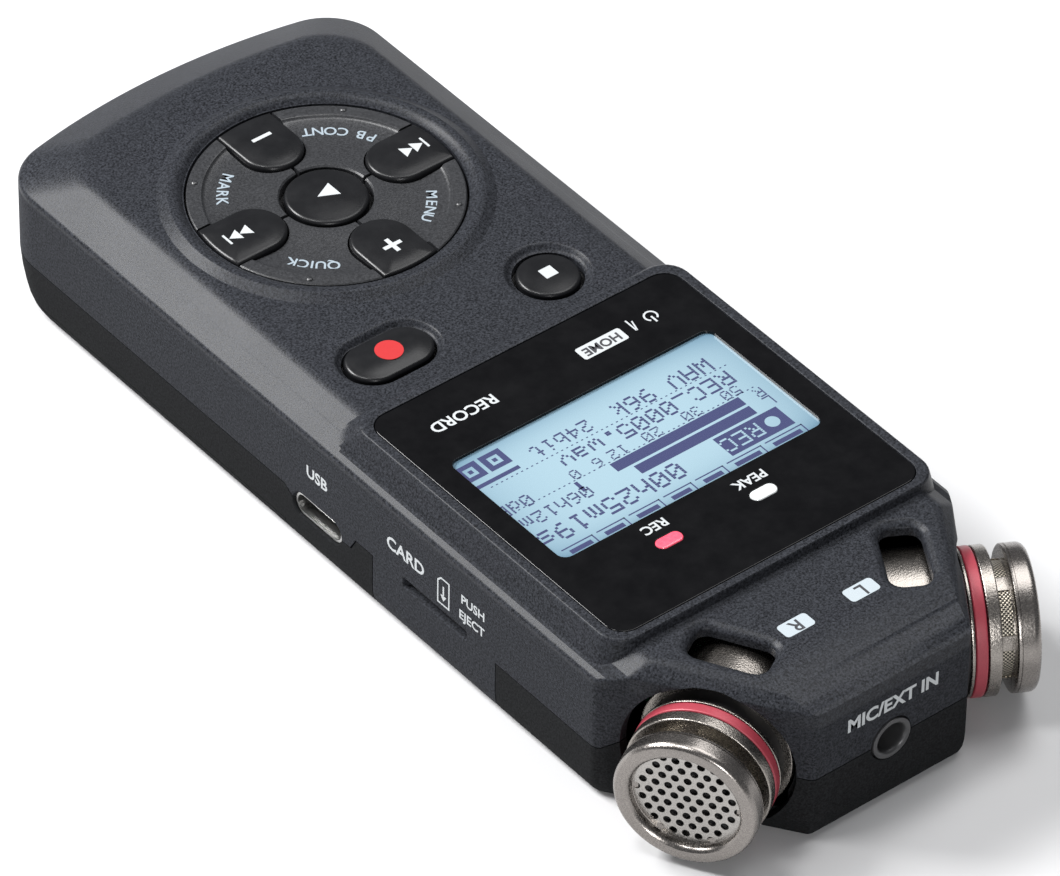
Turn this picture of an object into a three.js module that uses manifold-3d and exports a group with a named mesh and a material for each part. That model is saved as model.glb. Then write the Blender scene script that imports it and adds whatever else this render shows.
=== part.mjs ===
// Portable field recorder, lying on its back.
// Millimetres. +X is the side with the data port and card slot, +Y the microphone end, +Z out of
// the face. The origin is at the middle of the footprint, on the surface the back rests on.

import * as THREE from 'three';
import { mergeVertices } from 'three/addons/utils/BufferGeometryUtils.js';
import Module from 'manifold-3d';

const wasm = await Module();
wasm.setup();

// ---- Driving dimensions ---------------------------------------------------------------------

const GAP = 0.3;                // clearance between neighbouring pieces
const HALF_WIDTH = 26.7;        // housing, without the microphones
const TAIL_Y = -70.76;          // rounded end, on the centre line
const END_Y = 69.2;             // flat microphone end
const END_HALF = 11.65;         // half width of the flat end between the two cheeks
const CHEEK_Y = 47.7;           // where the slanted cheeks start on the sides
const WALL = 1.8;

const PART_Z = 7.75;            // parting line on the long sides
const MIC_Z = 9.62;             // microphone axes, mic input and parting line at the end
const FLANK_Z = 18.05;          // lower edge of the bevelled flanks
const CHEEK_TOP_Z = 19.6;       // where the cheeks' top bevel starts
const PANEL_Z = 21.4;           // control panel
const BEZEL_Z = 22.6;           // display frame
const CEILING_Z = 19.6;         // inner face of the control panel
const FLOOR_Z = 1.2;            // inner face of the back

const PANEL_HALF = 21.46;
const PANEL_TAIL_Y = -63.4;

const BEZEL_HALF = 24.4;
const BEZEL_FOOT_HALF = 25.65;
const BEZEL_START_Y = -0.9;
const BEZEL_END_Y = 48.7;
const WINDOW = { half: 22.95, start: 0.45, end: 47.5, z: 21.4, top: 22.5, radius: 2.6 };
const LCD = { half: 21.2, start: 9.3, end: 36.0, z: 18.9, top: 21.05 };
const LED = { half: 1.85, halfHeight: 0.9, z: 18.9, top: 22.5 };
const REC_LED = { x: 7.85, y: 38.1 };
const PEAK_LED = { x: -6.1, y: 38.4 };

const WHEEL_Y = -36.6;
const WHEEL_R = 17.3;           // opening in the panel
const WHEEL_RIM_R = 19.2;       // crest of the raised collar round it
const KEY_Z = 19.55;            // underside of every key
const KEY_TRAVEL = 0.35;
const FLANGE_TOP_Z = 19.95;
const PLAY_R = 5.2;
const ARM_HALF = 4.05;          // half width of the four cross keys
const ARM_INNER_R = 7.0;
const PAD_INNER_R = 5.75;
const KEY_TOPS = { play: 21.65, arm: 21.9, pad: 20.95, padBand: 21.4, stop: 21.25, record: 21.65 };
const STOP = { x: -12.1, y: -8.9, r: 3.95 };
const RECORD = { x: 12.05, y: -9.0, half: 5.9, halfHeight: 3.5 };

const MIC_ANGLE = Math.PI / 6;  // microphone axes, turned from the side towards the end
const MIC_Y = 48.17;            // where the two axes cross on the centre line
const BARREL_R = 9.4;
const BARREL_FLAT_Z = 1.6;      // the barrels are flattened here, over the back
const BARREL_INNER_R = 8.2;
const COLLAR_R = 8.9;            // crimson ring and collar
const NECK_R = 7.05;            // wire mesh between collar and cap
const NECK_INNER_R = 6.4;
const SOCKET_R = 10.35;
const MIC = {                   // distances along the axis from the crossing point
  barrel: [11.0, 19.5], lip: [19.4, 22.0], ring: [22.3, 23.65], collar: [23.95, 25.4],
  band: [25.7, 26.9], cap: [27.2, 30.06], grille: [28.7, 29.2], capsule: [23.0, 28.2],
};
const MIC_WINDOW = { along: 15.1, half: 2.6, across: 5.0, flare: 0.6 };

const DOOR_EDGE_Y = -10.5;
const DOOR_Z = 1.84;            // height of the door's edge on the sides
const SHELF_Z = 3.3;            // floor of the housing over the door
const CELL = { r: 7.25, x: 7.6, z: 8.9, start: -62.3, length: 50.0 };
const BAY = { half: 15.3, start: -64.5, end: -11.4, top: 16.45, wall: 0.7 };

const USB = { y: -4.1, z: 6.35, half: 4.47, halfHeight: 1.58, wall: 0.3, inner: 19.2 };
const CARD = { y: 18.35, z: 8.05, half: 5.5, length: 15, thickness: 0.9, outer: 25.9 };
const TAB = { start: 6.67, end: 29.7, inner: 24.6 };
const PHONES = { y: 20, z: PART_Z };
const JACK_BORE_R = 1.8;
const JACK_R = 2.8;
const TRIPOD = { y: 2.0, r: 3.2, outer: 4.5, height: 5.4 };
const SPEAKER = { y: 34.0, r: 9.0 };
const SCREWS = [[21.6, 40.5, 0.5], [-21.6, 40.5, 0.5], [21.6, -32, 2.3], [-21.6, -32, 2.3]];

// ---- Solids ---------------------------------------------------------------------------------

// A closed three.js geometry as a manifold solid.
function solid(geometry) {
  const bare = geometry.clone();
  bare.deleteAttribute('normal');
  bare.deleteAttribute('uv');
  const merged = mergeVertices(bare, 1e-4);
  const index = merged.index.array;
  const triangles = [];
  for (let i = 0; i < index.length; i += 3) {
    const [a, b, c] = [index[i], index[i + 1], index[i + 2]];
    if (a !== b && b !== c && c !== a) triangles.push(a, b, c);
  }
  return new wasm.Manifold(new wasm.Mesh({
    numProp: 3,
    vertProperties: new Float32Array(merged.attributes.position.array),
    triVerts: new Uint32Array(triangles),
  }));
}

function geometryOf(body) {
  const data = body.getMesh();
  const geometry = new THREE.BufferGeometry();
  geometry.setAttribute('position', new THREE.BufferAttribute(data.vertProperties, 3));
  geometry.setIndex(new THREE.BufferAttribute(data.triVerts, 1));
  geometry.computeVertexNormals();
  return geometry;
}

const join = (first, ...rest) => rest.reduce((sum, body) => sum.add(body), first);
const cut = (first, ...rest) => rest.reduce((left, body) => left.subtract(body), first);

function box(x0, x1, y0, y1, z0, z1) {
  const geometry = new THREE.BoxGeometry(x1 - x0, y1 - y0, z1 - z0);
  return solid(geometry.translate((x0 + x1) / 2, (y0 + y1) / 2, (z0 + z1) / 2));
}

// Side walls through rings of equal point count, lowest ring first, closed at both ends.
function loft(rings) {
  const count = rings[0].length;
  const positions = rings.flat().flatMap((point) => point.toArray());
  const index = [];
  for (let level = 0; level + 1 < rings.length; level += 1) {
    for (let i = 0; i < count; i += 1) {
      const a = level * count + i;
      const b = level * count + ((i + 1) % count);
      index.push(a, b, b + count, a, b + count, a + count);
    }
  }
  const flat = (ring) => ring.map((point) => new THREE.Vector2(point.x, point.y));
  const top = (rings.length - 1) * count;
  for (const [a, b, c] of THREE.ShapeUtils.triangulateShape(flat(rings[0]), [])) index.push(c, b, a);
  for (const [a, b, c] of THREE.ShapeUtils.triangulateShape(flat(rings.at(-1)), [])) {
    index.push(top + a, top + b, top + c);
  }
  const geometry = new THREE.BufferGeometry();
  geometry.setAttribute('position', new THREE.Float32BufferAttribute(positions, 3));
  geometry.setIndex(index);
  return solid(geometry);
}

const lift = (outline, z) => outline.map((point) => new THREE.Vector3(point.x, point.y, z));
const prism = (outline, z0, z1) => loft([lift(outline, z0), lift(outline, z1)]);

// Points of an arc, from angle a0 to a1 in degrees.
function arc(cx, cy, r, a0, a1, steps) {
  return Array.from({ length: steps + 1 }, (_, i) => {
    const angle = THREE.MathUtils.degToRad(a0 + ((a1 - a0) * i) / steps);
    return new THREE.Vector2(cx + r * Math.cos(angle), cy + r * Math.sin(angle));
  });
}

function circle(cx, cy, r, steps) {
  return arc(cx, cy, r, 0, 360 - 360 / steps, steps - 1);
}

function roundedRect(cx, cy, halfX, halfY, r, steps = 4) {
  const [x, y] = [halfX - r, halfY - r];
  return [
    ...arc(cx + x, cy - y, r, -90, 0, steps),
    ...arc(cx + x, cy + y, r, 0, 90, steps),
    ...arc(cx - x, cy + y, r, 90, 180, steps),
    ...arc(cx - x, cy - y, r, 180, 270, steps),
  ].filter((p, i, all) => p.distanceTo(all[(i + 1) % all.length]) > 1e-3);
}

// A turned body about +Z from [radius, height] pairs that start and end on the axis.
function turned(profile, steps, x = 0, y = 0) {
  const points = profile.map(([r, z]) => new THREE.Vector2(r, z));
  const geometry = new THREE.LatheGeometry(points, steps);
  return solid(geometry.rotateX(Math.PI / 2).translate(x, y, 0));
}

const rod = (x, y, r, z0, z1, steps = 18) => prism(circle(x, y, r, steps), z0, z1);

// Turns a body made along +Z so that it points along +X (side 1) or -X (side -1).
function sideways(body, side, x, y, z) {
  const turn = new THREE.Matrix4().makeRotationY((side * Math.PI) / 2);
  turn.setPosition(x, y, z);
  return solid(geometryOf(body).applyMatrix4(turn));
}

// Turns a body made along +Z so that it points along +Y.
function endways(body, x, y, z) {
  const turn = new THREE.Matrix4().makeRotationX(-Math.PI / 2);
  turn.setPosition(x, y, z);
  return solid(geometryOf(body).applyMatrix4(turn));
}

// A prism along X from an outline in Y and Z.
function extrudedAlongX(outline, x0, x1) {
  const shape = new THREE.Shape(outline.map(([y, z]) => new THREE.Vector2(y, z)));
  const geometry = new THREE.ExtrudeGeometry(shape, { depth: x1 - x0, bevelEnabled: false });
  const basis = new THREE.Matrix4().makeBasis(
    new THREE.Vector3(0, 1, 0), new THREE.Vector3(0, 0, 1), new THREE.Vector3(1, 0, 0),
  );
  return solid(geometry.applyMatrix4(basis.setPosition(x0, 0, 0)));
}

// ---- Housing shape --------------------------------------------------------------------------

const CHEEK_NORMAL = new THREE.Vector2(END_Y - CHEEK_Y, HALF_WIDTH - END_HALF).normalize();
const CHEEK_REACH = CHEEK_NORMAL.dot(new THREE.Vector2(HALF_WIDTH, CHEEK_Y));

// One level of the housing: insets of the long sides, tail, cheeks and flat end.
function housingRing(z, side, tail, cheek, end) {
  const bowR = 94.6;
  const cornerR = 8;
  const half = HALF_WIDTH - side;
  const tailY = TAIL_Y + tail;
  const tilt = Math.asin((half - cornerR) / (bowR - cornerR));
  const tiltDegrees = THREE.MathUtils.radToDeg(tilt);
  const cornerY = tailY + bowR - (bowR - cornerR) * Math.cos(tilt);
  const reach = CHEEK_REACH - cheek;
  const endY = END_Y - end;
  const right = [
    ...arc(0, tailY + bowR, bowR, -90, -90 + tiltDegrees, 4).slice(1, -1),
    ...arc(half - cornerR, cornerY, cornerR, -90 + tiltDegrees, 0, 5),
    new THREE.Vector2(half, (reach - CHEEK_NORMAL.x * half) / CHEEK_NORMAL.y),
    new THREE.Vector2((reach - CHEEK_NORMAL.y * endY) / CHEEK_NORMAL.x, endY),
  ];
  const left = right.map((p) => new THREE.Vector2(-p.x, p.y)).reverse();
  return lift([new THREE.Vector2(0, tailY), ...right, ...left], z);
}

function housingBody() {
  const panelSide = HALF_WIDTH - PANEL_HALF;
  const panelTail = PANEL_TAIL_Y - TAIL_Y;
  const cheekTopShare = (CHEEK_TOP_Z - FLANK_Z) / (PANEL_Z - FLANK_Z);
  const main = loft([
    housingRing(0, 1.6, 4.2, 1.2, 1.2),
    housingRing(0.5, 0.8, 3.1, 0.6, 0.6),
    housingRing(1.4, 0.25, 2.1, 0.2, 0.2),
    housingRing(2.8, 0, 1.3, 0, 0),
    housingRing(PART_Z, 0, 0, 0, 0),
    housingRing(FLANK_Z, 0, 0, 0, 0),
    housingRing(CHEEK_TOP_Z, panelSide * cheekTopShare, panelTail * cheekTopShare, 0, 0),
    housingRing(PANEL_Z, panelSide, panelTail, 2.0, 0),
  ]);
  const roll = [
    [60, PANEL_Z + 0.01], [63.5, 21.15], [66.5, 20.5], [69.2, 19.5], [72, 18.2], [72, 30], [60, 30],
  ];
  return cut(main, extrudedAlongX(roll, -HALF_WIDTH, HALF_WIDTH));
}

// The raised display frame: battered sides and a sloped start.
function bezelBlock() {
  const ring = (z, half, start, end) => lift(roundedRect(
    0, (start + end) / 2, half, (end - start) / 2, 3.2,
  ), z);
  return loft([
    ring(FLANK_Z - 0.4, BEZEL_FOOT_HALF + 0.1, BEZEL_START_Y - 4.9, BEZEL_END_Y + 0.8),
    ring(BEZEL_Z - 0.25, BEZEL_HALF + 0.1, BEZEL_START_Y - 0.25, BEZEL_END_Y + 0.1),
    ring(BEZEL_Z, BEZEL_HALF - 0.15, BEZEL_START_Y, BEZEL_END_Y - 0.15),
  ]);
}

// The raised collar round the key wheel.
function wheelCollar() {
  const profile = [
    [0, PANEL_Z - 0.6], [21.3, PANEL_Z - 0.6], [21.3, PANEL_Z], [20.3, PANEL_Z + 0.3],
    [WHEEL_RIM_R, PANEL_Z + 0.55], [18.6, PANEL_Z + 0.4], [17.6, PANEL_Z - 0.05], [0, PANEL_Z - 0.05],
  ];
  return turned(profile, 48, 0, WHEEL_Y);
}

function cavity() {
  return loft([
    housingRing(FLOOR_Z, WALL + 1.0, WALL + 3.2, WALL + 0.6, WALL + 0.6),
    housingRing(3.2, WALL, WALL + 1.2, WALL, WALL),
    housingRing(PART_Z, WALL, WALL, WALL, WALL),
    housingRing(16.3, WALL, WALL, WALL, WALL),
    housingRing(CEILING_Z, 7.0, 9.0, WALL + 1.4, WALL + 2.0),
  ]);
}

// ---- Microphone placing ---------------------------------------------------------------------

// From a frame whose +Z is the microphone's axis to the housing's frame.
function micFrame(side) {
  const turn = new THREE.Matrix4().makeBasis(
    new THREE.Vector3(side * Math.sin(MIC_ANGLE), -Math.cos(MIC_ANGLE), 0).multiplyScalar(side),
    new THREE.Vector3(0, 0, 1),
    new THREE.Vector3(side * Math.cos(MIC_ANGLE), Math.sin(MIC_ANGLE), 0),
  );
  if (turn.determinant() < 0) turn.scale(new THREE.Vector3(-1, 1, 1));
  return turn.setPosition(0, MIC_Y, MIC_Z);
}

const atMic = (body, side) => solid(geometryOf(body).applyMatrix4(micFrame(side)));
const micRod = (side, r, from, to, steps = 32) => atMic(rod(0, 0, r, from, to, steps), side);

// A ring of wall round the barrel, inside the cheek.
function micCup(side) {
  return cut(micRod(side, 11.6, 18.0, 21.0), micBore(side));
}

// The bore round the barrel, kept clear of the back and the control panel.
function micBore(side) {
  const low = BARREL_FLAT_Z - GAP;
  return micRod(side, BARREL_R + GAP, 8, 24).intersect(box(-40, 40, 0, 90, low, 30));
}

// The barrel in its own frame, flattened underneath.
function micBarrel() {
  const tube = join(
    sleeve(BARREL_R, BARREL_INNER_R, MIC.barrel, 0.2), sleeve(COLLAR_R, BARREL_INNER_R, MIC.lip, 0.15),
  );
  return cut(tube, box(-20, 20, -20, BARREL_FLAT_Z - MIC_Z, 0, 40));
}

function micSocket(side) {
  const recess = micRod(side, SOCKET_R, 19.3, 26, 36);
  return recess.intersect(box(-40, 40, 0, 90, 1.0, 30));
}

function micSlot(side) {
  const spin = new THREE.Matrix4().makeRotationZ(side * MIC_ANGLE);
  const { along, half, across, flare } = MIC_WINDOW;
  const ring = (extra, z) => lift(roundedRect(
    side * along, 0, half + extra, across + extra, 1.6 + extra,
  ), z).map((p) => p.applyMatrix4(spin).add(new THREE.Vector3(0, MIC_Y, 0)));
  return loft([
    ring(0, 15.5), ring(0, PANEL_Z - 0.7), ring(flare, PANEL_Z + 0.01), ring(flare, PANEL_Z + 2),
  ]);
}

// ---- Front and rear shells ------------------------------------------------------------------

// Everything above the parting line, lowered by drop where a gap is wanted.
function upperRegion(drop) {
  const right = [
    [-90, PART_Z - drop], [-10.3 - drop, PART_Z - drop], [-8.3 - drop, USB.z - drop],
    [2.3 + drop, USB.z - drop], [3.3 + drop, 8.15 - drop], [TAB.start, 8.15 - drop],
    [TAB.end, PART_Z - drop], [CHEEK_Y + 0.7, PART_Z - drop], [CHEEK_Y + 2.8, MIC_Z - drop],
    [90, MIC_Z - drop], [90, 40], [-90, 40],
  ];
  const left = [
    [-90, PART_Z - drop], [CHEEK_Y + 0.7, PART_Z - drop], [CHEEK_Y + 2.8, MIC_Z - drop],
    [90, MIC_Z - drop], [90, 40], [-90, 40],
  ];
  const tab = box(TAB.inner - drop, 40, TAB.start - drop, TAB.end + drop, -5, 12);
  return join(extrudedAlongX(right, 0, 40), extrudedAlongX(left, -40, 0), tab);
}

// Openings that both shells share on their edges.
function sharedOpenings() {
  const usb = extrudedAlongX(
    roundedRect(USB.y, USB.z, USB.half + 0.2, USB.halfHeight + 0.2, 1.7).map((p) => [p.x, p.y]),
    USB.inner, 40,
  );
  return join(
    usb,
    sideways(rod(0, 0, JACK_R + GAP, -4, 8, 28), -1, -HALF_WIDTH, PHONES.y, PHONES.z),
    endways(rod(0, 0, JACK_R + GAP, -4, 8, 28), 0, END_Y, MIC_Z),
    micSocket(1), micSocket(-1),
  );
}

function screwHole(x, y, z) {
  return join(rod(x, y, 1.25, z, 16), rod(x, y, 2.2, z - 8, z + 1.2));
}

function keyOpenings() {
  const stopSink = turned([[0, PANEL_Z + 1], [5.9, PANEL_Z + 1], [4.35, 20.4], [0, 20.4]].reverse(),
    36, STOP.x, STOP.y);
  const recordRing = (grow, z) => lift(roundedRect(
    RECORD.x, RECORD.y, RECORD.half + grow, RECORD.halfHeight + grow, RECORD.halfHeight + grow, 8,
  ), z);
  return join(
    rod(0, WHEEL_Y, WHEEL_R, 18, 24, 48),
    rod(0, WHEEL_Y, WHEEL_R + 1.1, 18, 20.25, 36),
    stopSink,
    rod(STOP.x, STOP.y, STOP.r + GAP, 18, 24, 32),
    rod(STOP.x, STOP.y, STOP.r + 1.1, 18, 20.25, 24),
    loft([recordRing(GAP, 18), recordRing(GAP, 20.6), recordRing(1.6, PANEL_Z + 0.8)]),
    loft([recordRing(1.0, 18), recordRing(1.0, 20.25)]),
  );
}

function frontShell() {
  const skin = join(housingBody(), bezelBlock(), wheelCollar());
  const bosses = SCREWS.map(([x, y]) => rod(x, y, 2.4, 8.2, CEILING_Z));
  const inner = cut(cavity(), ...bosses, micCup(1), micCup(-1));
  const windowSeat = prism(roundedRect(
    0, (WINDOW.start + WINDOW.end) / 2, WINDOW.half + GAP,
    (WINDOW.end - WINDOW.start) / 2 + GAP, WINDOW.radius,
  ), WINDOW.z - 0.2, 30);
  const slotZ = CARD.z;
  return cut(
    skin.intersect(upperRegion(0)),
    inner, sharedOpenings(), keyOpenings(), windowSeat,
    box(-LCD.half - 0.4, LCD.half + 0.4, LCD.start - 1.2, 45, 17.8, 30),
    micSlot(1), micSlot(-1),
    micBore(1), micBore(-1),
    box(20, 40, CARD.y - CARD.half - 0.45, CARD.y + CARD.half + 0.45, slotZ - 0.75, slotZ + 0.75),
    ...SCREWS.map(([x, y, z]) => screwHole(x, y, z)),
  );
}

function batteryBay() {
  const outer = box(-BAY.half - BAY.wall, BAY.half + BAY.wall, BAY.start - BAY.wall,
    BAY.end + BAY.wall, DOOR_Z + GAP, BAY.top + BAY.wall);
  return cut(outer, box(-BAY.half, BAY.half, BAY.start, BAY.end, -1, BAY.top));
}

function doorRegion(grow) {
  return box(-40, 40, -90, DOOR_EDGE_Y + grow, -5, DOOR_Z + grow);
}

function speakerSlots() {
  const rows = [-6, -3, 0, 3, 6];
  return rows.map((y) => prism(
    roundedRect(0, SPEAKER.y + y, Math.sqrt(56 - y * y), 0.6, 0.55, 2), -1, FLOOR_Z + 1,
  ));
}

function rearShell() {
  const lower = cut(housingBody(), upperRegion(GAP), doorRegion(GAP));
  const shelf = box(-40, 40, -90, DOOR_EDGE_Y + 1.6, FLOOR_Z - 0.5, SHELF_Z);
  const screwSeats = SCREWS.map(([x, y]) => rod(x, y, 3.2, 0.2, 6.4));
  const tripodSeat = rod(0, TRIPOD.y, TRIPOD.outer + 1.7, 0.2, 4.8);
  const inner = cut(cavity(), shelf, ...screwSeats, tripodSeat, micCup(1), micCup(-1));
  const open = box(-BAY.half, BAY.half, BAY.start, BAY.end, -1, BAY.top);
  return cut(
    join(cut(lower, inner), batteryBay()),
    open, sharedOpenings(),
    micBore(1), micBore(-1),
    rod(0, TRIPOD.y, TRIPOD.outer + GAP, -1, 7, 28),
    ...speakerSlots(),
    ...SCREWS.map(([x, y, z]) => screwHole(x, y, z)),
  );
}

function batteryDoor() {
  const plate = housingBody().intersect(doorRegion(0));
  return cut(plate, box(-BAY.half + 0.2, BAY.half - 0.2, BAY.start + 0.2, DOOR_EDGE_Y + 1, 1.35, 3));
}

// ---- Display --------------------------------------------------------------------------------

const ledOutline = (led, grow) => roundedRect(
  led.x, led.y, LED.half + grow, LED.halfHeight + grow, LED.halfHeight + grow - 0.02, 3,
);

function displayWindow() {
  const plate = prism(roundedRect(
    0, (WINDOW.start + WINDOW.end) / 2, WINDOW.half, (WINDOW.end - WINDOW.start) / 2, WINDOW.radius,
  ), WINDOW.z, WINDOW.top);
  return cut(plate, prism(ledOutline(REC_LED, GAP), 20, 24), prism(ledOutline(PEAK_LED, GAP), 20, 24));
}

const lightPipe = (led) => prism(ledOutline(led, 0), LED.z, LED.top);

function lcdModule() {
  return box(-LCD.half, LCD.half, LCD.start, LCD.end, LCD.z, LCD.top);
}

// ---- Keys -----------------------------------------------------------------------------------

// A key with a flat skirt, upright sides and a top that steps in like a shallow dome.
function key(outlineAt, top, flange = 0) {
  const levels = [[0, KEY_Z], [0, top - 0.55], [-0.35, top - 0.2], [-1.0, top]];
  const stem = loft(levels.map(([grow, z]) => lift(outlineAt(grow), z)));
  if (!flange) return stem;
  return join(stem, prism(outlineAt(flange), KEY_Z, FLANGE_TOP_Z));
}

function playKey() {
  return key((grow) => circle(0, WHEEL_Y, PLAY_R + grow, 32), KEY_TOPS.play);
}

// A cross key, before it is turned to its place: round inside, on the wheel's circle outside.
function armOutline(grow) {
  const half = ARM_HALF + grow;
  const outer = WHEEL_R - GAP + grow;
  const spread = THREE.MathUtils.radToDeg(Math.asin(half / outer));
  return [
    ...arc(0, 0, outer, -spread, spread, 5),
    ...arc(ARM_INNER_R + ARM_HALF, 0, half, 90, 270, 8),
  ];
}

const turnedAbout = (outline, degrees) => outline.map((p) => p.clone()
  .rotateAround(new THREE.Vector2(), THREE.MathUtils.degToRad(degrees))
  .add(new THREE.Vector2(0, WHEEL_Y)));

function armKey(degrees) {
  const top = key((grow) => turnedAbout(armOutline(grow), degrees), KEY_TOPS.arm);
  const flangeOuter = rod(0, WHEEL_Y, WHEEL_R + 0.7, KEY_Z, FLANGE_TOP_Z, 48);
  const strip = prism(turnedAbout(
    roundedRect(15.6, 0, 4, ARM_HALF - 0.4, 0.4, 1), degrees,
  ), KEY_Z, FLANGE_TOP_Z);
  return join(top, strip.intersect(flangeOuter));
}

// A quarter pad between two cross keys, with a raised outer band.
function padKey(degrees) {
  const quarter = (outer, z0, z1) => prism(turnedAbout([
    ...arc(0, 0, PAD_INNER_R, 88, 2, 6), ...arc(0, 0, outer, 1, 89, 12),
  ], degrees), z0, z1);
  const arms = [degrees, degrees + 90].map((angle) => prism(
    turnedAbout(armOutline(GAP), angle), 18, 24,
  ));
  const clear = [degrees, degrees + 90].map((angle) => prism(
    turnedAbout(roundedRect(20, 0, 8, ARM_HALF + GAP, 0.2, 1), angle), 18, 24,
  ));
  const pad = join(
    quarter(WHEEL_R - GAP, KEY_Z, KEY_TOPS.pad),
    cut(quarter(WHEEL_R - GAP, KEY_Z, KEY_TOPS.padBand), rod(0, WHEEL_Y, 14.8, 20.5, 24, 48)),
    quarter(WHEEL_R + 0.7, KEY_Z, FLANGE_TOP_Z),
  );
  return cut(pad, ...arms, ...clear);
}

const stopKey = () => key((grow) => circle(STOP.x, STOP.y, STOP.r + grow, 28), KEY_TOPS.stop, 0.7);

function recordKey() {
  return key((grow) => roundedRect(
    RECORD.x, RECORD.y, RECORD.half + grow, RECORD.halfHeight + grow, RECORD.halfHeight + grow - 0.02, 7,
  ), KEY_TOPS.record, 0.6);
}

function keypadSheet() {
  const centres = [[0, WHEEL_Y], [STOP.x, STOP.y], [RECORD.x, RECORD.y]];
  for (let i = 0; i < 8; i += 1) {
    const angle = (i * Math.PI) / 4;
    centres.push([12.2 * Math.cos(angle), WHEEL_Y + 12.2 * Math.sin(angle)]);
  }
  const sheet = prism(roundedRect(0, -30, 18.7, 26, 5), 18.7, 18.95);
  return join(sheet, ...centres.map(([x, y]) => rod(x, y, 2.2, 18.8, KEY_Z - KEY_TRAVEL - 0.05, 12)));
}

// ---- Boards and electronics -----------------------------------------------------------------

function mainBoard() {
  const plate = prism([
    [-12, -58], [12, -58], [20.8, -49], [20.8, 40], [14, 44.5], [4, 44.5], [4, 58], [-4, 58],
    [-4, 44.5], [-14, 44.5], [-20.8, 40], [-20.8, -49],
  ].map(([x, y]) => new THREE.Vector2(x, y)), 17.65, 18.5);
  const chips = join(box(-6, 6, -4, 8, 16.6, 17.7), box(9, 17, 14, 22, 16.4, 17.7),
    box(-16, -8, 20, 32, 16.6, 17.7));
  const notches = SCREWS.map(([x, y]) => rod(x, y, 2.8, 16, 20));
  return cut(join(plate, chips), ...notches);
}

function ioBoard() {
  const plate = box(-23.8, 23.8, -9.2, 44, 5.8, 6.8);
  const header = box(-9, -3, 2, 12, 6.7, 16.2);
  return cut(
    join(plate, header),
    box(USB.inner - GAP, 30, USB.y - USB.half - GAP, USB.y + USB.half + GAP, 4, 9),
    box(-30, -11.5, PHONES.y - 3.6, PHONES.y + 3.6, 4, 12),
    box(17.9, 30, 36.8, 50, 4, 9),
    box(-30, -17.9, 36.8, 50, 4, 9),
  );
}

function usbPort() {
  const outline = (grow) => roundedRect(
    USB.y, USB.z, USB.half + grow, USB.halfHeight + grow, 1.5 + grow, 5,
  ).map((p) => [p.x, p.y]);
  const shell = cut(
    extrudedAlongX(outline(0), USB.inner, 26.3),
    extrudedAlongX(outline(-USB.wall), USB.inner + 0.8, 30),
  );
  const tongue = box(USB.inner + 0.4, 25.2, USB.y - 3.3, USB.y + 3.3, USB.z - 0.35, USB.z + 0.35);
  return join(shell, tongue);
}

function cardSocket() {
  const frame = box(9.2, 24.2, CARD.y - 6.9, CARD.y + 6.9, 7.1, 9.1);
  const slot = box(10.6, 30, CARD.y - CARD.half - 0.25, CARD.y + CARD.half + 0.25,
    CARD.z - CARD.thickness / 2 - 0.2, CARD.z + CARD.thickness / 2 + 0.2);
  return cut(frame, slot);
}

function memoryCard() {
  const [y0, y1] = [CARD.y - CARD.half, CARD.y + CARD.half];
  const inner = CARD.outer - CARD.length;
  const outline = [[inner, y0], [CARD.outer, y0], [CARD.outer, y1], [inner + 6, y1],
    [inner + 5, y1 - 1], [inner, y1 - 1]].map(([x, y]) => new THREE.Vector2(x, y));
  return prism(outline, CARD.z - CARD.thickness / 2, CARD.z + CARD.thickness / 2);
}

// A 3.5 mm socket made along +Z, its rim at height 0.
function jack(depth) {
  const bushing = rod(0, 0, JACK_R, -4.5, 0, 28);
  const body = box(-3, 3, -2.5, 2.5, -depth, -2.4);
  return cut(join(bushing, body), rod(0, 0, JACK_BORE_R, -depth + 1, 1, 24));
}

function speaker() {
  const profile = [[0, 2.6], [7.6, 1.6], [8.2, 1.6], [8.2, 1.35], [SPEAKER.r, 1.35], [SPEAKER.r, 2.6],
    [6.5, 4.4], [4.5, 4.4], [4.5, 5.4], [0, 5.4]];
  return turned(profile, 24, 0, SPEAKER.y);
}

function tripodInsert() {
  return cut(rod(0, TRIPOD.y, TRIPOD.outer, 0.15, TRIPOD.height, 28),
    rod(0, TRIPOD.y, TRIPOD.r, -1, TRIPOD.height - 0.6, 28));
}

function screw(x, y, z) {
  const length = 9.2 - z;
  const profile = [[0, z + length], [0.95, z + length], [0.95, z + 1.2], [1.9, z + 0.9], [1.9, z], [0, z]];
  const cross = join(box(x - 1.1, x + 1.1, y - 0.25, y + 0.25, z - 1, z + 0.6),
    box(x - 0.25, x + 0.25, y - 1.1, y + 1.1, z - 1, z + 0.6));
  return cut(turned(profile.reverse(), 16, x, y), cross);
}

// ---- Batteries ------------------------------------------------------------------------------

// An AA cell along Y; pole 1 puts the positive nub at the microphone end.
function cell(x, pole) {
  const body = CELL.length - 1.2;
  const profile = [[0, 0], [6.4, 0], [7.05, 0.3], [CELL.r, 0.8], [CELL.r, body - 0.8], [7.05, body - 0.3],
    [6.2, body], [2.7, body], [2.7, CELL.length], [0, CELL.length]];
  const stick = turned(profile, 20);
  const flip = new THREE.Matrix4().makeRotationX(pole > 0 ? -Math.PI / 2 : Math.PI / 2);
  flip.setPosition(x, pole > 0 ? CELL.start : CELL.start + CELL.length, CELL.z);
  return solid(geometryOf(stick).applyMatrix4(flip));
}

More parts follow.
